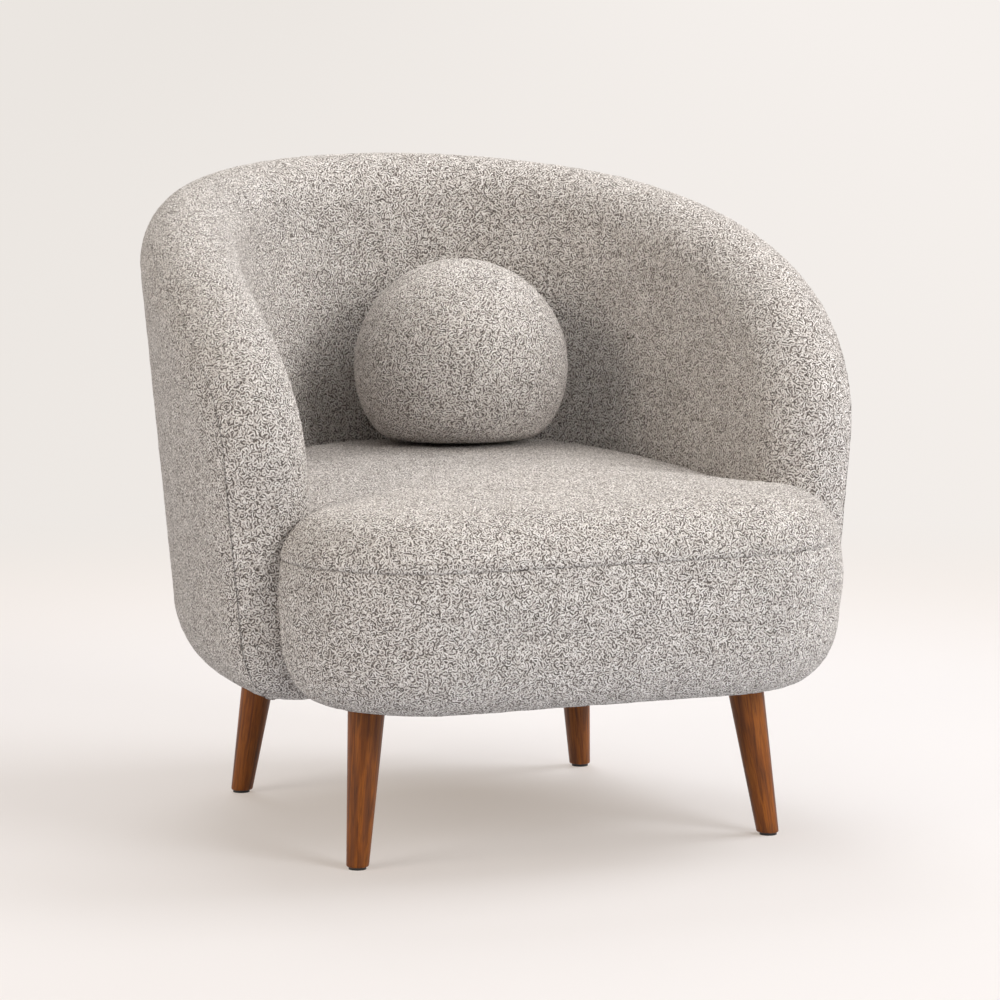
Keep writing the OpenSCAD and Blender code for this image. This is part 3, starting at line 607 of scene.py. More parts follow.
@dataclass
class TubWall:
    """The padded wall's surface: a superellipse in plan that leans out as it rises, with a round free edge.

    Sizes are in mm, as in every class of a piece.
    """

    half_wall: float = 57.4
    path_w: float = 354.6
    path_d: float = 539.6
    arm_y: float = -178.0
    plan_power: float = 2.22
    lean_z: float = 620.0
    lean_share: float = 0.092
    rim_z: float = 756.0
    shoulder_z: float = 714.0
    arm_z: float = 510.0
    arm_run: float = 454.0
    back_rise_run: float = 136.0
    base_z: float = 183.0
    foot_h: float = 76.0
    foot_in: float = 54.0
    angles: Array = field(init=False, repr=False)
    runs: Array = field(init=False, repr=False)
    length: float = field(init=False)

    def __post_init__(self) -> None:
        """Measure the path once, in small steps."""
        self.angles = np.linspace(0, math.pi, 6001)
        step = np.diff(np.stack(self.path(self.angles)), axis=1)
        self.runs = join([[0], np.cumsum(np.hypot(*step))])
        self.length = float(self.runs[-1])

    def path(self, angle: Array) -> tuple[Array, Array]:
        """Plan of the wall's middle: x = -w cos^(2/n), y = front + d sin^(2/n) of the angle.

        Args:
            angle: 0 at the left arm's end and pi at the right one's.

        Returns:
            The x and the y of each place.
        """
        power = 2 / self.plan_power
        cos, sin = np.cos(angle), np.clip(np.sin(angle), 0, None)
        return -self.path_w * np.sign(cos) * np.abs(cos) ** power, self.arm_y + self.path_d * sin ** power

    def plan(self, run: Array, z: Array, off: Array | float) -> tuple[Array, Array]:
        """Points at a run along the path, moved outwards by the lean at that height and an offset.

        Args:
            run: distance along the path.
            z: height.
            off: distance outwards from the wall's middle.

        Returns:
            The points and their unit directions outwards.
        """
        x, y = self.path(np.interp(run, self.runs, self.angles))
        u, v = x / self.path_w, (y - self.arm_y) / self.path_d
        nx = np.sign(u) * np.abs(u) ** (self.plan_power - 1) / self.path_w
        ny = np.abs(v) ** (self.plan_power - 1) / self.path_d
        long = np.hypot(nx, ny)
        nx, ny = nx / long, ny / long
        out = off - (self.lean_z - z) * self.lean_share
        return np.stack([x + nx * out, y + ny * out, z], -1), np.stack([nx, ny, np.zeros_like(nx)], -1)

    def edge(self, run: Array) -> tuple[Array, Array]:
        """Height of the rim's middle and its slope.

        The rim climbs from the arm as a quarter circle scaled to the arm's run. The back adds a squared sine.

        Args:
            run: distance along the path.

        Returns:
            The height in mm and the slope in radians.
        """
        q = np.minimum(run, self.length - run)
        k = np.clip(q / self.arm_run, 0, 1)
        half = self.length / 2 - self.back_rise_run
        g = np.clip((q - self.back_rise_run) / half, 0, 1)
        root = np.sqrt(1 - (1 - k) ** 2)
        rise, back = self.shoulder_z - self.arm_z, self.rim_z - self.shoulder_z
        height = self.arm_z + rise * root + back * np.sin(g * math.pi / 2) ** 2 - self.half_wall
        slope = (rise / self.arm_run * (1 - k) / np.maximum(root, 1e-6)
                 + back * math.pi / 2 * np.sin(g * math.pi) / half * (g > 0))
        return height, np.arctan(slope)


@dataclass
class TubGrid:
    """The tub's mesh: columns along the wall's path by rows up its faces, and half rings about its free edge.

    The free edge runs up the left nose, along the rim and down the right nose. Each place on it has a ring of
    turns, in degrees, from the outside's face to the inside's. outer, inner and ring hold numbers of points.
    """

    columns: Array
    turns: Array
    z: Array
    inset: Array
    edge_column: Array = field(init=False)
    edge_row: Array = field(init=False)
    on_rim: Array = field(init=False)
    outer: Array = field(init=False)
    inner: Array = field(init=False)
    ring: Array = field(init=False)

    def __post_init__(self) -> None:
        """Find the edge's column and row at each place, and number the points of both faces and the rings."""
        count, rows = self.z.shape
        last = len(self.turns) - 1
        self.edge_column = join([np.zeros(rows - 1, int), np.arange(count), np.full(rows - 1, count - 1)])
        self.edge_row = join([np.arange(rows - 1), np.full(count, rows - 1), np.arange(rows - 1)[::-1]])
        self.on_rim = self.edge_row == rows - 1
        self.outer = np.arange(count * rows).reshape(count, rows)
        self.inner = self.outer + count * rows
        between = 2 * count * rows + np.arange(len(self.edge_column) * (last - 1)).reshape(-1, last - 1)
        start, end = (face[self.edge_column, self.edge_row][:, None] for face in (self.outer, self.inner))
        self.ring = join([start, between, end], axis=1)


@dataclass
class Tub:
    """The tub's four sewn panels: outside back, inside back and two arms, over the foam.

    The seams show fully below tight_z and by least_tight above it, and change over about tight_band each way.
    """

    wall: TubWall
    panel_run: float = 460.0
    seam_angle: float = 36.0
    tight_z: float = 520.0
    tight_band: float = 35.0
    least_tight: float = 0.3
    no_seam: float = 99.0
    hem_in: float = 9.0
    cap_back: float = 6.0
    cap_up: float = 2.5
    foot_rows: int = 24
    wall_rows: int = 92
    arm_steps: int = 128
    back_steps: int = 136
    edge_steps: int = 46
    cap_steps: int = 4

    def grid(self) -> TubGrid:
        """Lay out the mesh, with close stations at the seams and a foot of a quarter ellipse.

        Returns:
            The layout, with its points still to be worked out.
        """
        wall = self.wall
        half = wall.length / 2
        near = self.panel_run * (1 - np.cos(np.linspace(0, math.pi / 2, self.arm_steps)))
        far = np.linspace(self.panel_run, half, self.back_steps // 2)
        side = with_marks(np.unique(join([near, far])), self.panel_run)
        side = side[side < half - 1]
        columns = join([side, [half], wall.length - side[::-1]])
        turns = with_marks(np.linspace(0, 180, self.edge_steps), self.seam_angle)
        foot = np.linspace(0, math.pi / 2, self.foot_rows + 1)
        foot_z = np.broadcast_to(wall.base_z + wall.foot_h * (1 - np.cos(foot)), (len(columns), len(foot)))
        low = wall.base_z + wall.foot_h
        share = np.linspace(0, 1, self.wall_rows + 1)[1:]
        z = join([foot_z, low + (wall.edge(columns)[0][:, None] - low) * share], axis=1)
        inset = join([wall.foot_in * (1 - np.sin(foot)), np.zeros(self.wall_rows)])
        return TubGrid(columns, turns, z, inset)

    def skin(self, grid: TubGrid) -> Array:
        """Points of both faces and of the rings between them, in the order of the grid's numbers.

        A ring's point is the wall's middle, plus the radius times the turn's cosine outwards and its sine ahead.
        Ahead is forwards at a nose, and at the rim it leans forwards from straight up by the rim's slope.

        Args:
            grid: the mesh's layout.

        Returns:
            Rows of x, y and z.
        """
        wall, columns, turns = self.wall, grid.columns, grid.turns
        run = np.broadcast_to(columns[:, None], grid.z.shape)
        faces = [wall.plan(run, grid.z, off)[0].reshape(-1, 3)
                 for off in (wall.half_wall - grid.inset, -wall.half_wall)]
        edge_run = columns[grid.edge_column]
        middle, out = wall.plan(edge_run, grid.z[grid.edge_column, grid.edge_row], 0.0)
        hand = np.where(edge_run < wall.length / 2, 1, -1)[:, None]
        forward = out[:, [1, 0, 2]] * [-1, 1, 0] * hand
        tilt = np.where(grid.on_rim, wall.edge(columns)[1][grid.edge_column], math.pi / 2)
        angle = np.radians(turns)[None, :]
        ease = np.where(turns <= 90, 1, (180 - turns) / 90)[None, :]
        radius = wall.half_wall - grid.inset[grid.edge_row][:, None] * ease
        ahead = radius * np.sin(angle) * np.sin(tilt)[:, None]
        ring = (middle[:, None] + (radius * np.cos(angle))[..., None] * out[:, None]
                + ahead[..., None] * forward[:, None])
        ring[..., 2] += radius * np.sin(angle) * np.cos(tilt)[:, None]
        return join([*faces, ring[:, 1:-1].reshape(-1, 3)])

    def seam_distance(self, grid: TubGrid) -> Array:
        """Distance to the nearest seam: round the edge at its angle, and across the inside at the panels' ends.

        Args:
            grid: the mesh's layout.

        Returns:
            The distance in mm for each point.
        """
        columns, turns = grid.columns, grid.turns
        cut = np.minimum(np.abs(columns - self.panel_run), np.abs(self.wall.length - self.panel_run - columns))
        inside = (turns >= self.seam_angle)[None, :] & grid.on_rim[:, None]
        ring = np.minimum(np.abs(turns - self.seam_angle)[None, :] * self.wall.half_wall * math.pi / 180,
                          np.where(inside, cut[grid.edge_column][:, None], self.no_seam))
        away = join([np.full(grid.z.size, self.no_seam), np.repeat(cut, grid.z.shape[1]), ring[:, 1:-1].ravel()])
        away[grid.outer[grid.edge_column, grid.edge_row]] = ring[:, 0]
        return away

    def build(self, cloth: Material) -> list[Piece]:
        """Make the panels: the skin with its seams drawn in, a hem at its foot and a cap under each nose.

        Args:
            cloth: the fabric.

        Returns:
            Outside back, inside back, left arm and right arm.
        """
        grid = self.grid()
        points, away = self.skin(grid), self.seam_distance(grid)
        outer, inner = grid_cells(grid.outer), grid_cells(grid.inner[:, self.foot_rows:])[:, ::-1]
        normals = point_normals(points, join([outer, inner, grid_cells(grid.ring)]))
        # The seams are drawn in less high up than at the arm fronts, and less shade is painted along them there
        above = (points[:, 2] - self.tight_z) / self.tight_band
        tight = self.least_tight + (1 - self.least_tight) / (1 + np.exp(above))
        points = points + normals * (pile(points) - tight * fold_depth(away))[:, None]
        foot_edge = grid.outer[:, 0]
        _, out = self.wall.plan(grid.columns, points[foot_edge, 2], 0.0)
        hem, strip = folded_under(points, foot_edge, -out * self.hem_in)
        left_cap, left_in = self.nose_cap(join([points, strip]), grid.ring[0])
        points = join([points, strip, left_in])
        right_cap, right_in = self.nose_cap(points, grid.ring[-1])
        points, right_cap = join([points, right_in]), right_cap[:, :, ::-1]
        # Painted seam shade: nearness to a seam, times how tightly it is drawn in
        seam, lay = with_plain_rest(tight * seam_line(away), normals, len(points))
        seam_turn = int(np.argmin(np.abs(grid.turns - self.seam_angle)))
        shell = [outer, grid_cells(grid.ring[:, :seam_turn + 1]), hem[:, ::-1],
                 left_cap[:seam_turn].reshape(-1, 4), right_cap[:seam_turn].reshape(-1, 4)]
        pieces = [make_piece("outside_back_panel", points, join(shell), cloth, seam, lay)]
        end, top = len(grid.columns) - 1, grid.z.shape[1] - 1
        first = int(np.argmin(np.abs(grid.columns - self.panel_run)))
        spans = (("inside_back", first, end - first, left_cap[:0]), ("left_arm", 0, first, left_cap),
                 ("right_arm", end - first, end, right_cap))
        for name, start, stop, cap in spans:
            from_ring = 0 if start == 0 else top + start
            to_ring = len(grid.ring) - 1 if stop == end else top + stop
            parts = [grid_cells(grid.inner[start:stop + 1, self.foot_rows:])[:, ::-1],
                     grid_cells(grid.ring[from_ring:to_ring + 1, seam_turn:]), cap[seam_turn:].reshape(-1, 4)]
            pieces.append(make_piece(f"{name}_panel", points, join(parts), cloth, seam, lay))
        return pieces

    def nose_cap(self, points: Array, ids: Array) -> tuple[Array, Array]:
        """Close the underside of an arm's nose: straight lines from its ring back to the arm's end and up.

        Args:
            points: all points so far.
            ids: point numbers of the nose's lowest ring.

        Returns:
            The cap's cells as steps round the ring by steps inwards, and its points.
        """
        share = np.linspace(0, 1, self.cap_steps + 1)[1:]
        ring = points[ids]
        back = ring.copy()
        back[:, 1] = self.wall.arm_y + self.cap_back
        back[:, 2] = self.wall.base_z + self.cap_up
        inside = (ring[:, None] + (back - ring)[:, None] * share[None, :, None]).reshape(-1, 3)
        new = len(points) + np.arange(len(inside)).reshape(len(ids), -1)
        cap = join([ids[:, None], new], axis=1)
        return np.stack([cap[:-1, :-1], cap[:-1, 1:], cap[1:, 1:], cap[1:, :-1]], -1), inside


@dataclass
class Seat:
    """The seat block: a front border and a crowned top panel that fits round the arm ends and along the wall.

    Half the outline has five stretches: a bowed front, a quarter round, a straight side, an arc about the arm's
    end and the wall's plan, with so many stations on each as counts says.
    """

    wall: TubWall
    counts: tuple[int, ...] = (44, 62, 14, 50, 176)
    border_stations: int = 158
    foot_rows: int = 28
    border_rows: int = 22
    roll_rows: int = 28
    top_rows: int = 74
    width: float = 672.0
    front: float = 419.0
    front_bow: float = 1.5
    corner_r: float = 167.0
    foot_h: float = 84.0
    foot_in: float = 62.0
    bulge: float = 4.0
    border_h: float = 83.0
    seam_z: float = 350.0
    roll_h: float = 60.0
    roll_in: float = 72.0
    roll_run: float = 104.0
    roll_turn: float = math.radians(75)
    side_z: float = 393.0
    side_roll: float = 22.0
    crown_z: float = 425.0
    straight_share: float = 0.14
    arm_end_share: float = 0.56
    rise_run: float = 420.0
    middle: tuple[float, float] = (0.0, -89.0)
    hug_gap: float = 1.2
    hug_in: float = 6.0
    wall_gap: float = 0.6
    corner_soft: float = 4.0
    corner_turn: float = math.radians(6)
    tuck: float = 13.0
    tuck_in: float = 14.0
    hem_in: float = 10.0
    round_passes: int = 14
    row_passes: int = 60
    passes_from: int = 8
    ease_from: int = 22
    ease_rows: float = 36.0
    ease_stations: float = 34.0
    fall: float = 19.0
    fall_run: float = 430.0

    def half_stations(self) -> tuple[Array, Array]:
        """Stations of half the outline, as many on each stretch as counts says.

        Returns:
            Which stretch each lies on, and how far along it from 0 to 1.
        """
        last = len(self.counts) - 1
        kind = join([np.full(count, k) for k, count in enumerate(self.counts)])
        part = join([np.linspace(0, 1, count, endpoint=k == last) for k, count in enumerate(self.counts)])
        return kind, part

    def half_outline(self, kind: Array, part: Array, z: Array, inset: Array) -> Array:
        """Places on the right half of the outline.

        Args:
            kind: the stretch of each station.
            part: how far along it, from 0 to 1.
            z: height of each station.
            inset: how far each is set in.

        Returns:
            Rows of x and y.
        """
        wall, side = self.wall, self.width / 2
        cx, cy = side - self.corner_r, self.corner_r - self.front
        tip_x, tip_y, _ = wall.plan(np.full(len(z), wall.length), z, 0.0)[0].T
        off = -wall.half_wall - self.wall_gap - inset
        hug = wall.half_wall + self.hug_gap + np.minimum(np.maximum(inset, 0), self.hug_in)
        tuck = self.tuck * np.clip(1 - np.maximum(inset, 0) / self.tuck_in, 0, 1)
        start = np.arccos(np.clip((side - inset - tuck - tip_x) / hug, -1, 1))
        corner_y = tip_y - hug * np.sin(start) - self.corner_soft
        turn = part * math.pi / 2
        first = start + self.corner_turn
        about = first + (math.pi - first) * part
        wall_x, wall_y, _ = wall.plan(wall.length * (1 - part / 2), z, off)[0].T
        x = np.choose(kind, [cx * part, cx + (self.corner_r - inset) * np.sin(turn),
                             side - inset - tuck * (1 - np.sqrt(1 - part ** 2)),
                             tip_x + hug * np.cos(about), wall_x])
        y = np.choose(kind, [inset - self.front - self.front_bow * (1 - part ** 2),
                             cy - (self.corner_r - inset) * np.cos(turn), cy + (corner_y - cy) * part,
                             tip_y - hug * np.sin(about), wall_y])
        return np.stack([x, y], -1)

    def surface(self) -> tuple[Array, int]:
        """The whole skin as rows up from the foot to the crown by stations round the outline.

        The foot is a quarter ellipse, the border bulges as a half sine, the roll is 75 degrees of an ellipse,
        and the top runs from the roll to the crown with a height of 1 - (1 - share)^2.

        Returns:
            Points as rows by stations, and the number of the seam's row.
        """
        kind, part = self.half_stations()
        none, low_share, share = np.zeros(len(part)), self.straight_share, self.arm_end_share
        along_wall = np.minimum(self.wall.length * part / 2 / self.rise_run, 1)
        rise = np.choose(kind, [none, none, low_share * part, low_share + (share - low_share) * part,
                                share + (1 - share) * along_wall])
        free = np.choose(kind, [1 + none, 1 + none, (1 - part) ** 2, none, none])
        w = np.clip(np.choose(kind, [none, none, 0.5 * part, 0.5 + part / 1.2, 1 + none]), 0, 1)
        w = w * w * (3 - 2 * w)
        z0 = self.seam_z + (self.side_z - self.seam_z) * rise
        roll_h = self.roll_h + (self.side_roll - self.roll_h) * w
        roll_in = self.roll_in + (self.side_roll - self.roll_in) * w
        rows: list[Array] = []

        def add(z: Array, inset: Array) -> None:
            """Add one row of half stations."""
            rows.append(join([self.half_outline(kind, part, z, inset), z[:, None]], axis=1))

        ones = np.ones(len(kind))
        base_z, low = self.wall.base_z, self.wall.base_z + self.foot_h
        for b in np.linspace(0, math.pi / 2, self.foot_rows):
            add((base_z + self.foot_h * (1 - math.cos(b))) * ones, self.foot_in * (1 - math.sin(b)) * ones)
        for v in with_marks(np.linspace(0, self.border_h, self.border_rows), self.border_h)[1:]:
            if v <= self.border_h:
                swell = math.sin(math.pi * v / self.border_h)
                add(low + (z0 - low) * v / self.border_h, -self.bulge * swell * free)
        seam_row = len(rows) - 1
        for b in with_marks(np.linspace(0, self.roll_run, self.roll_rows), 0.0):
            if b > 0:
                a = b / self.roll_run * self.roll_turn
                add(z0 + roll_h * math.sin(a), roll_in * (1 - math.cos(a)))
        edge, crown = rows[-1], np.array([*self.middle, self.crown_z])
        for p in np.linspace(0, 1, self.top_rows)[1:]:
            shares = np.array([p, p, 1 - (1 - p) ** 2])
            rows.append(edge * (1 - shares) + crown * shares)
        half = np.stack(rows)
        mirror = half[:, -2:0:-1] * np.array([-1, 1, 1])
        return self.smoothed(join([half, mirror], axis=1), seam_row), seam_row

    def smoothed(self, skin: Array, seam_row: int) -> Array:
        """Ease the skin's corners: each point moves to a mean of itself and its neighbours, many times over.

        This goes round the outline first and then up the rows, from passes_from rows above the seam. The heights
        are then eased round the outline by a bell, which grows to ease_stations towards the crown.

        Args:
            skin: points as rows by stations.
            seam_row: the seam's row, above which the rows are eased too.

        Returns:
            The eased points.
        """
        for _ in range(self.round_passes):
            skin = 0.5 * skin + 0.25 * (np.roll(skin, 1, axis=1) + np.roll(skin, -1, axis=1))
        start = seam_row + self.passes_from
        for _ in range(self.row_passes):
            skin[start:-1] = 0.5 * skin[start:-1] + 0.25 * (skin[start - 1:-2] + skin[start + 1:])
        share = np.clip((np.arange(len(skin)) - seam_row - self.ease_from) / self.ease_rows, 0, 1)
        bell = self.ease_stations * share * share * (3 - 2 * share)
        waves = np.fft.rfft(skin[:, :, 2], axis=1)
        falls = np.exp(-2 * (math.pi * bell[:, None] * np.arange(waves.shape[1]) / skin.shape[1]) ** 2)
        skin[:, :, 2] = np.fft.irfft(waves * falls, n=skin.shape[1], axis=1)
        return skin

    def build(self, cloth: Material) -> list[Piece]:
        """Make the top panel and the front border.

        Args:
            cloth: the fabric.

        Returns:
            The top and the front.
        """
        skin, seam_row = self.surface()
        levels, around = skin.shape[:2]
        ids = np.arange(levels * around).reshape(levels, around)
        ids[-1] = ids[-1, 0]
        closed = closed_round(ids)
        cells = grid_cells(closed)[:, ::-1]
        flat = skin.reshape(-1, 3)
        across = np.linalg.norm(np.diff(skin, axis=0), axis=2)
        along = join([np.zeros((1, around)), np.cumsum(across, axis=0)])
        away = np.abs(along - along[seam_row]).ravel()
        normals = point_normals(flat, cells)
        crown = cells[:, 1] == cells[:, 2]
        cells[crown] = cells[crown][:, [0, 1, 3, 3]]
        # Shade is painted along the front seam, most at the left, where the light grazes it
        seam = (0.5 - 0.3 * flat[:, 0] / self.width) * seam_line(away)
        flat = flat + normals * (pile(flat) - fold_depth(away))[:, None]
        reach = self.border_stations
        grid = cells.reshape(levels - 1, around, 4)
        front = [grid[:seam_row, :reach].reshape(-1, 4), grid[:seam_row, around - reach:].reshape(-1, 4)]
        foot_edge = join([closed[0, around - reach:around], closed[0, :reach + 1]])
        inwards = (np.array([0.0, self.middle[1], 0.0]) - flat[foot_edge]) * [1, 1, 0]
        inwards /= np.linalg.norm(inwards, axis=1, keepdims=True)
        hem, strip = folded_under(flat, foot_edge, inwards * self.hem_in)
        flat = join([flat, strip])
        seam, lay = with_plain_rest(seam, normals, len(flat))
        return [make_piece("seat_top_panel", flat, grid[seam_row:].reshape(-1, 4), cloth, seam, lay),
                make_piece("seat_front_border", flat, join([*front, hem]), cloth, seam, lay)]

    def top_height(self, x: Array, y: Array) -> Array:
        """Height of the seat near its crown, falling with the square of the distance from there."""
        away = np.hypot(x - self.middle[0], y - self.middle[1]) / self.fall_run
        return self.crown_z - self.fall * np.clip(away, 0, 1) ** 2


@dataclass
class BallCushion:
    """The loose ball: a stuffed sphere that settles flat where it rests on the seat."""

    seat: Seat
    radius: float = 130.0
    centre: Point = (45.0, 150.0, 511.3)
    soft: float = 11.0
    seat_gap: float = 1.4
    sunk: float = 0.3
    steps: tuple[int, int] = (108, 216)

    def build(self, cloth: Material) -> Piece:
        """Make the ball: a sphere whose height is held above the seat's by a smooth maximum.

        Args:
            cloth: the fabric.

        Returns:
            The ball.
        """
        polar = np.linspace(0, math.pi, self.steps[0])[:, None]
        round_about = np.linspace(0, 2 * math.pi, self.steps[1], endpoint=False)[None, :]
        unit = np.stack([np.sin(polar) * np.cos(round_about), np.sin(polar) * np.sin(round_about),
                         np.cos(polar) * np.ones_like(round_about)], -1)
        skin = unit * self.radius + np.array(self.centre)
        floor = self.seat.top_height(skin[..., 0], skin[..., 1]) + self.seat_gap
        skin[..., 2] = floor + self.soft * np.logaddexp(0, (skin[..., 2] - floor) / self.soft)
        ids = np.arange(polar.size * round_about.size).reshape(self.steps)
        ids[0], ids[-1] = ids[0, 0], ids[-1, 0]
        cells = grid_cells(closed_round(ids))
        flat = skin.reshape(-1, 3)
        normals = point_normals(flat, cells)
        flat = flat + normals * (pile(flat) - self.sunk)[:, None]
        low, high = cells[:, 0] == cells[:, 3], cells[:, 1] == cells[:, 2]
        cells[high] = cells[high][:, [0, 1, 3, 3]]
        cells[low] = cells[low][:, [0, 1, 2, 2]]
        return make_piece("ball_cushion_cover", flat, cells, cloth, np.zeros(len(flat)), normals)


@dataclass
class Legs:
    """Four turned and tapered legs that splay outwards, each cut level at its foot and at the base."""

    front_foot: tuple[float, float] = (254.5, 274.0)
    rear_foot: tuple[float, float] = (223.0, 202.0)
    splay: tuple[float, float] = (0.116, 0.132)
    foot_d: float = 25.0
    top_d: float = 45.0
    start: float = 2.5
    low_z: float = 3.0
    high_z: float = 185.0
    around: int = 96
    rings: int = 30
    grain_step: float = 400.0

    def build_one(self, name: str, spot: tuple[float, float], number: int, wood: Material) -> Piece:
        """Make one leg: a cone about a leaning axis, each of its lines cut where it meets the two level planes.

        Args:
            name: the piece's name.
            spot: the foot's x and y.
            number: tells the legs' grain apart.
            wood: the finish.

        Returns:
            The leg.
        """
        lean = np.array([-math.copysign(self.splay[0], spot[0]), -math.copysign(self.splay[1], spot[1]), 1.0])
        long = float(np.linalg.norm(lean))
        axis = lean / long
        side = np.cross([0, 0, 1.0], axis)
        side /= np.linalg.norm(side)
        angle = np.linspace(0, 2 * math.pi, self.around, endpoint=False)
        ray = np.cos(angle)[:, None] * side + np.sin(angle)[:, None] * np.cross(axis, side)
        foot_r = self.foot_d / 2
        grow = (self.top_d - self.foot_d) / 2 / (self.high_z * long + self.top_d / 2)

        def meets(z: float) -> Array:
            """Distance along the axis at which each line of the cone is at height z."""
            return (z - (foot_r + self.start * grow) * ray[:, 2]) / (axis[2] + grow * ray[:, 2])

        low, high = meets(self.low_z), meets(self.high_z)
        # The rounded edges: how far each ring is set in, and its share of the way up
        inset = join([[6.0, 1.6, 0.75, 0.25, 0.0], np.zeros(self.rings), [0.2, 0.9, 6.0]])
        share = join([[0.0, 0.0, 0.0016, 0.005, 0.011], np.linspace(0.02, 0.985, self.rings),
                      [0.995, 1.0, 1.0]])
        along = low[None, :] + (high - low)[None, :] * share[:, None]
        radius = foot_r + grow * (along + self.start) - inset[:, None]
        points = np.array([spot[0], spot[1], 0.0]) + along[..., None] * axis + radius[..., None] * ray
        grain = along + self.grain_step * number
        turned = np.stack([radius * np.cos(angle), radius * np.sin(angle), grain], -1) * MM
        ids = np.arange(along.size).reshape(along.shape)
        foot, top = np.full(self.around, along.size), np.full(self.around, along.size + 1)
        after = np.roll(ids, -1, axis=1)
        cells = join([grid_cells(closed_round(ids))[:, ::-1],
                      np.stack([ids[0], foot, after[0], after[0]], -1),
                      np.stack([ids[-1], after[-1], top, top], -1)])
        all_points = join([points.reshape(-1, 3), points[[0, -1]].mean(1)])
        all_turned = join([turned.reshape(-1, 3), turned[[0, -1]].mean(1)])
        return make_piece(name, all_points, cells, wood, turned=all_turned)

    def build(self, wood: Material) -> dict[str, Piece]:
        """Make the four legs.

        Args:
            wood: the finish.

        Returns:
            The legs by the CAD node that each stands for.
        """
        spots = {f"{end}_{side}_leg": (x * foot[0], y * foot[1])
                 for end, y, foot in (("front", -1, self.front_foot), ("rear", 1, self.rear_foot))
                 for side, x in (("left", -1), ("right", 1))}
        return {node: self.build_one(f"turned_{node}", spots[node], k, wood) for k, node in enumerate(spots)}


@dataclass(frozen=True)
class Softbox:
    """A square softbox: its name, place and side in metres, watts and sRGB hex colour."""

    name: str
    place: Point
    size: float
    watts: float
    colour: str

    def hang(self, aim: Point) -> None:
        """Hang the softbox so that it faces a point.

        Args:
            aim: the point.
        """
        light = bpy.data.lights.new(self.name, "AREA")
        light.shape, light.size, light.energy = "SQUARE", self.size, self.watts
        light.color = linear(self.colour)[:3]
        box = bpy.data.objects.new(self.name, light)
        box.location = self.place
        box.rotation_euler = (Vector(aim) - Vector(self.place)).to_track_quat("-Z", "Y").to_euler()
        bpy.context.scene.collection.objects.link(box)


@dataclass
class Studio:
    """Pale paper floor, a dim even room, and softboxes above, at both sides, in front and behind."""

    azimuth: float = -22.503
    elevation: float = 7.695
    distance: float = 5.859
    target: Point = (0.01277, -0.046, 0.37452)
    lens: float = 180.0
    aim: Point = (0.0, 0.0, 0.35)
    room_light: float = 0.2
    half_floor: float = 60000.0
    lamps: tuple[Softbox, ...] = (
        Softbox("overhead_softbox", (0.0, 0.0, 3.2), 2.2, 15.0, "FFFDFA"),
        Softbox("upper_right_softbox", (2.4, -0.3, 2.6), 1.8, 58.0, "FFFDFB"),
        Softbox("front_right_softbox", (1.6, -3.6, 2.2), 1.8, 92.0, "FFFCF9"),
        Softbox("left_softbox", (-3.2, -0.8, 1.8), 1.8, 43.0, "FFF3E5"),
        Softbox("rear_softbox", (0.4, 2.2, 2.8), 1.8, 48.0, "FFFEFC"))

    def floor(self) -> None:
        """Lay the paper: a flat sheet of cells that widen outwards as a hyperbolic sine."""
        edge = np.sinh(np.linspace(-4, 4, 41)) / math.sinh(4) * self.half_floor
        x, y = np.meshgrid(edge, edge, indexing="ij")
        points = np.stack([x.ravel(), y.ravel(), np.zeros(x.size)], -1)
        cells = grid_cells(np.arange(x.size).reshape(x.shape))
        make_piece("paper_floor", points, cells, StudioPaper().build())

    def room(self) -> None:
        """Light the room evenly, and show the paper's tone where a camera ray leaves it."""
        world = bpy.data.worlds.new("soft_room")
        world.use_nodes = True
        world.node_tree.nodes.clear()
        add = partial(add_node, world)
        even = add("Background", {"Color": linear("FFFDFA"), "Strength": self.room_light})
        plain = add("Background", {"Color": linear("EFEAE6"), "Strength": 1.0})
        add("OutputWorld", {"Surface": add("MixShader", {0: plain_to(add), 1: even, 2: plain})})
        bpy.context.scene.world = world

    def camera(self) -> None:
        """Stand the camera at the photograph's angle and distance."""
        az, el = math.radians(self.azimuth), math.radians(self.elevation)
        back = Vector((math.sin(az) * math.cos(el), -math.cos(az) * math.cos(el), math.sin(el)))
        data = bpy.data.cameras.new("photo_camera")
        data.lens, data.sensor_width, data.clip_end = self.lens, 36.0, 200.0
        eye = bpy.data.objects.new("photo_camera", data)
        turn = back.to_track_quat("Z", "Y").to_matrix().to_4x4()
        eye.matrix_world = Matrix.Translation(Vector(self.target) + back * self.distance) @ turn
        bpy.context.scene.collection.objects.link(eye)
        bpy.context.scene.camera = eye

    def build(self) -> None:
        """Set up the room, its lamps and the camera."""
        self.room()
        self.floor()
        for lamp in self.lamps:
            lamp.hang(self.aim)
        self.camera()
        bpy.context.scene.view_settings.view_transform = "Standard"


def stock_finishes() -> dict[str, Finish]:
    """Name the finishes of the CAD nodes that stay.

    Returns:
        A finish for each of the record's material slots that they have.
    """
    return {
        "plywood": PlainStock("birch_plywood", "B98F5E", "D6B283", 0.004, 0.6, stretch=(0.1, 1.0, 1.0)),
        "spring_steel": PlainStock("drawn_spring_wire", "6C6E72", "8E9095", 0.003, 0.38, metallic=1.0),
        "zinc_steel": PlainStock("zinc_plated_steel", "9A9CA1", "BFC1C5", 0.002, 0.34, metallic=1.0),
        "felt": PlainStock("grey_needle_felt", "4A4845", "6E6A65", 0.0012, 0.95, relief=0.0006),
        "dust_cloth": BlackCambric(),
        "glide_plastic": PlainStock("moulded_nylon_glide", "141414", "242424", 0.0015, 0.5),
    }


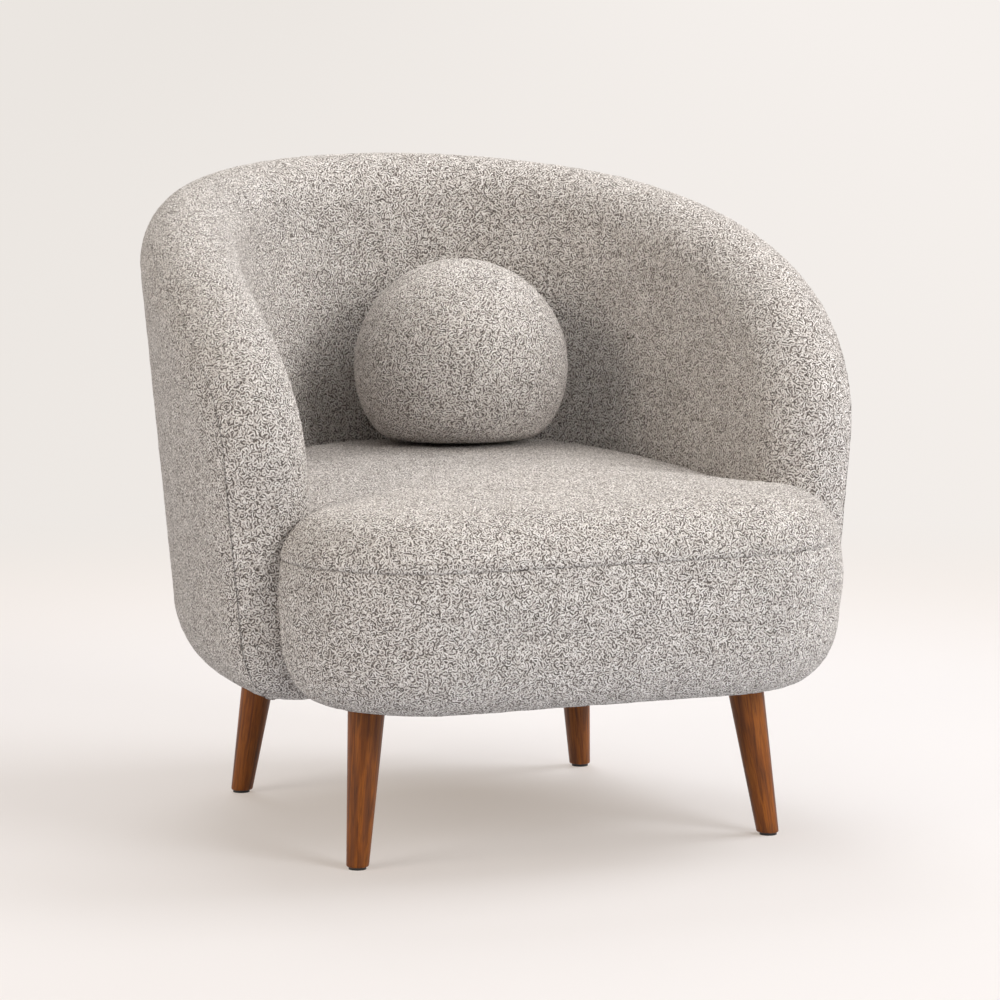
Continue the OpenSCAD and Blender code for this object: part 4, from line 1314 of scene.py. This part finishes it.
def dress_frame(frame: dict[str, Any], replaced: set[str]) -> None:
    """Give every CAD node that stays its own finish.

    Args:
        replaced: nodes that new pieces stand for.
    """
    finishes = {slot: finish.build() for slot, finish in stock_finishes().items()}
    for part in frame["record"]["subparts"]:
        node, slot = part["node"], part["material_slot"]
        if node in replaced or slot not in finishes:
            continue
        for place in frame["nodes"][node].material_slots:
            place.material = finishes[slot]
        log.info("%s keeps its CAD shape in %s", node, finishes[slot].name)


def settle(piece: Piece, body: str, slot: Slot, nodes: tuple[str, ...], fill: float | None = None) -> None:
    """Put a piece on its body, in place of its CAD nodes.

    Args:
        piece: the new piece.
        body: the body it rides on.
        slot: the record's material slot; not used.
        nodes: the CAD nodes it stands for.
        fill: how full a padded piece is stuffed, or None for a hard piece; not used.
    """
    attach(piece, body)
    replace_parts(piece, *nodes)
    log.info("%s: %d points for %s", piece.name, len(piece.data.vertices), ", ".join(nodes))


def main() -> None:
    """Load the frame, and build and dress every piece."""
    logging.basicConfig(level=logging.INFO, format="%(name)s: %(message)s")
    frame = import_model()
    cloth, wood = LoopedBoucle().build(), SatinWalnut().build()
    wall = TubWall()
    seat = Seat(wall)
    stands_for = ((("outside_back_cover",), 0.8), (("inside_back_cover", "back_foam"), 0.9),
                  (("left_arm_cover", "left_arm_foam"), 0.9), (("right_arm_cover", "right_arm_foam"), 0.9),
                  (("seat_top_cover", "seat_foam"), 0.9), (("seat_front_cover",), 0.9))
    for piece, (nodes, fill) in zip([*Tub(wall).build(cloth), *seat.build(cloth)], stands_for):
        settle(piece, "chair", Slot.FABRIC, nodes, fill)
    low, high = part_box("ball_cover")
    middle = ((low[0] + high[0]) / 2 / MM, (low[1] + high[1]) / 2 / MM, high[2] / MM - BallCushion.radius)
    ball = BallCushion(seat, centre=middle).build(cloth)
    settle(ball, "ball", Slot.FABRIC, ("ball_cover", "ball_filling"), 0.9)
    for node, leg in Legs().build(wood).items():
        settle(leg, "chair", Slot.WALNUT, (node,))
    dress_frame(frame, {name for piece in bpy.data.objects for name in piece.get("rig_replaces", [])})
    Studio().build()


if __name__ == "__main__":
    main()
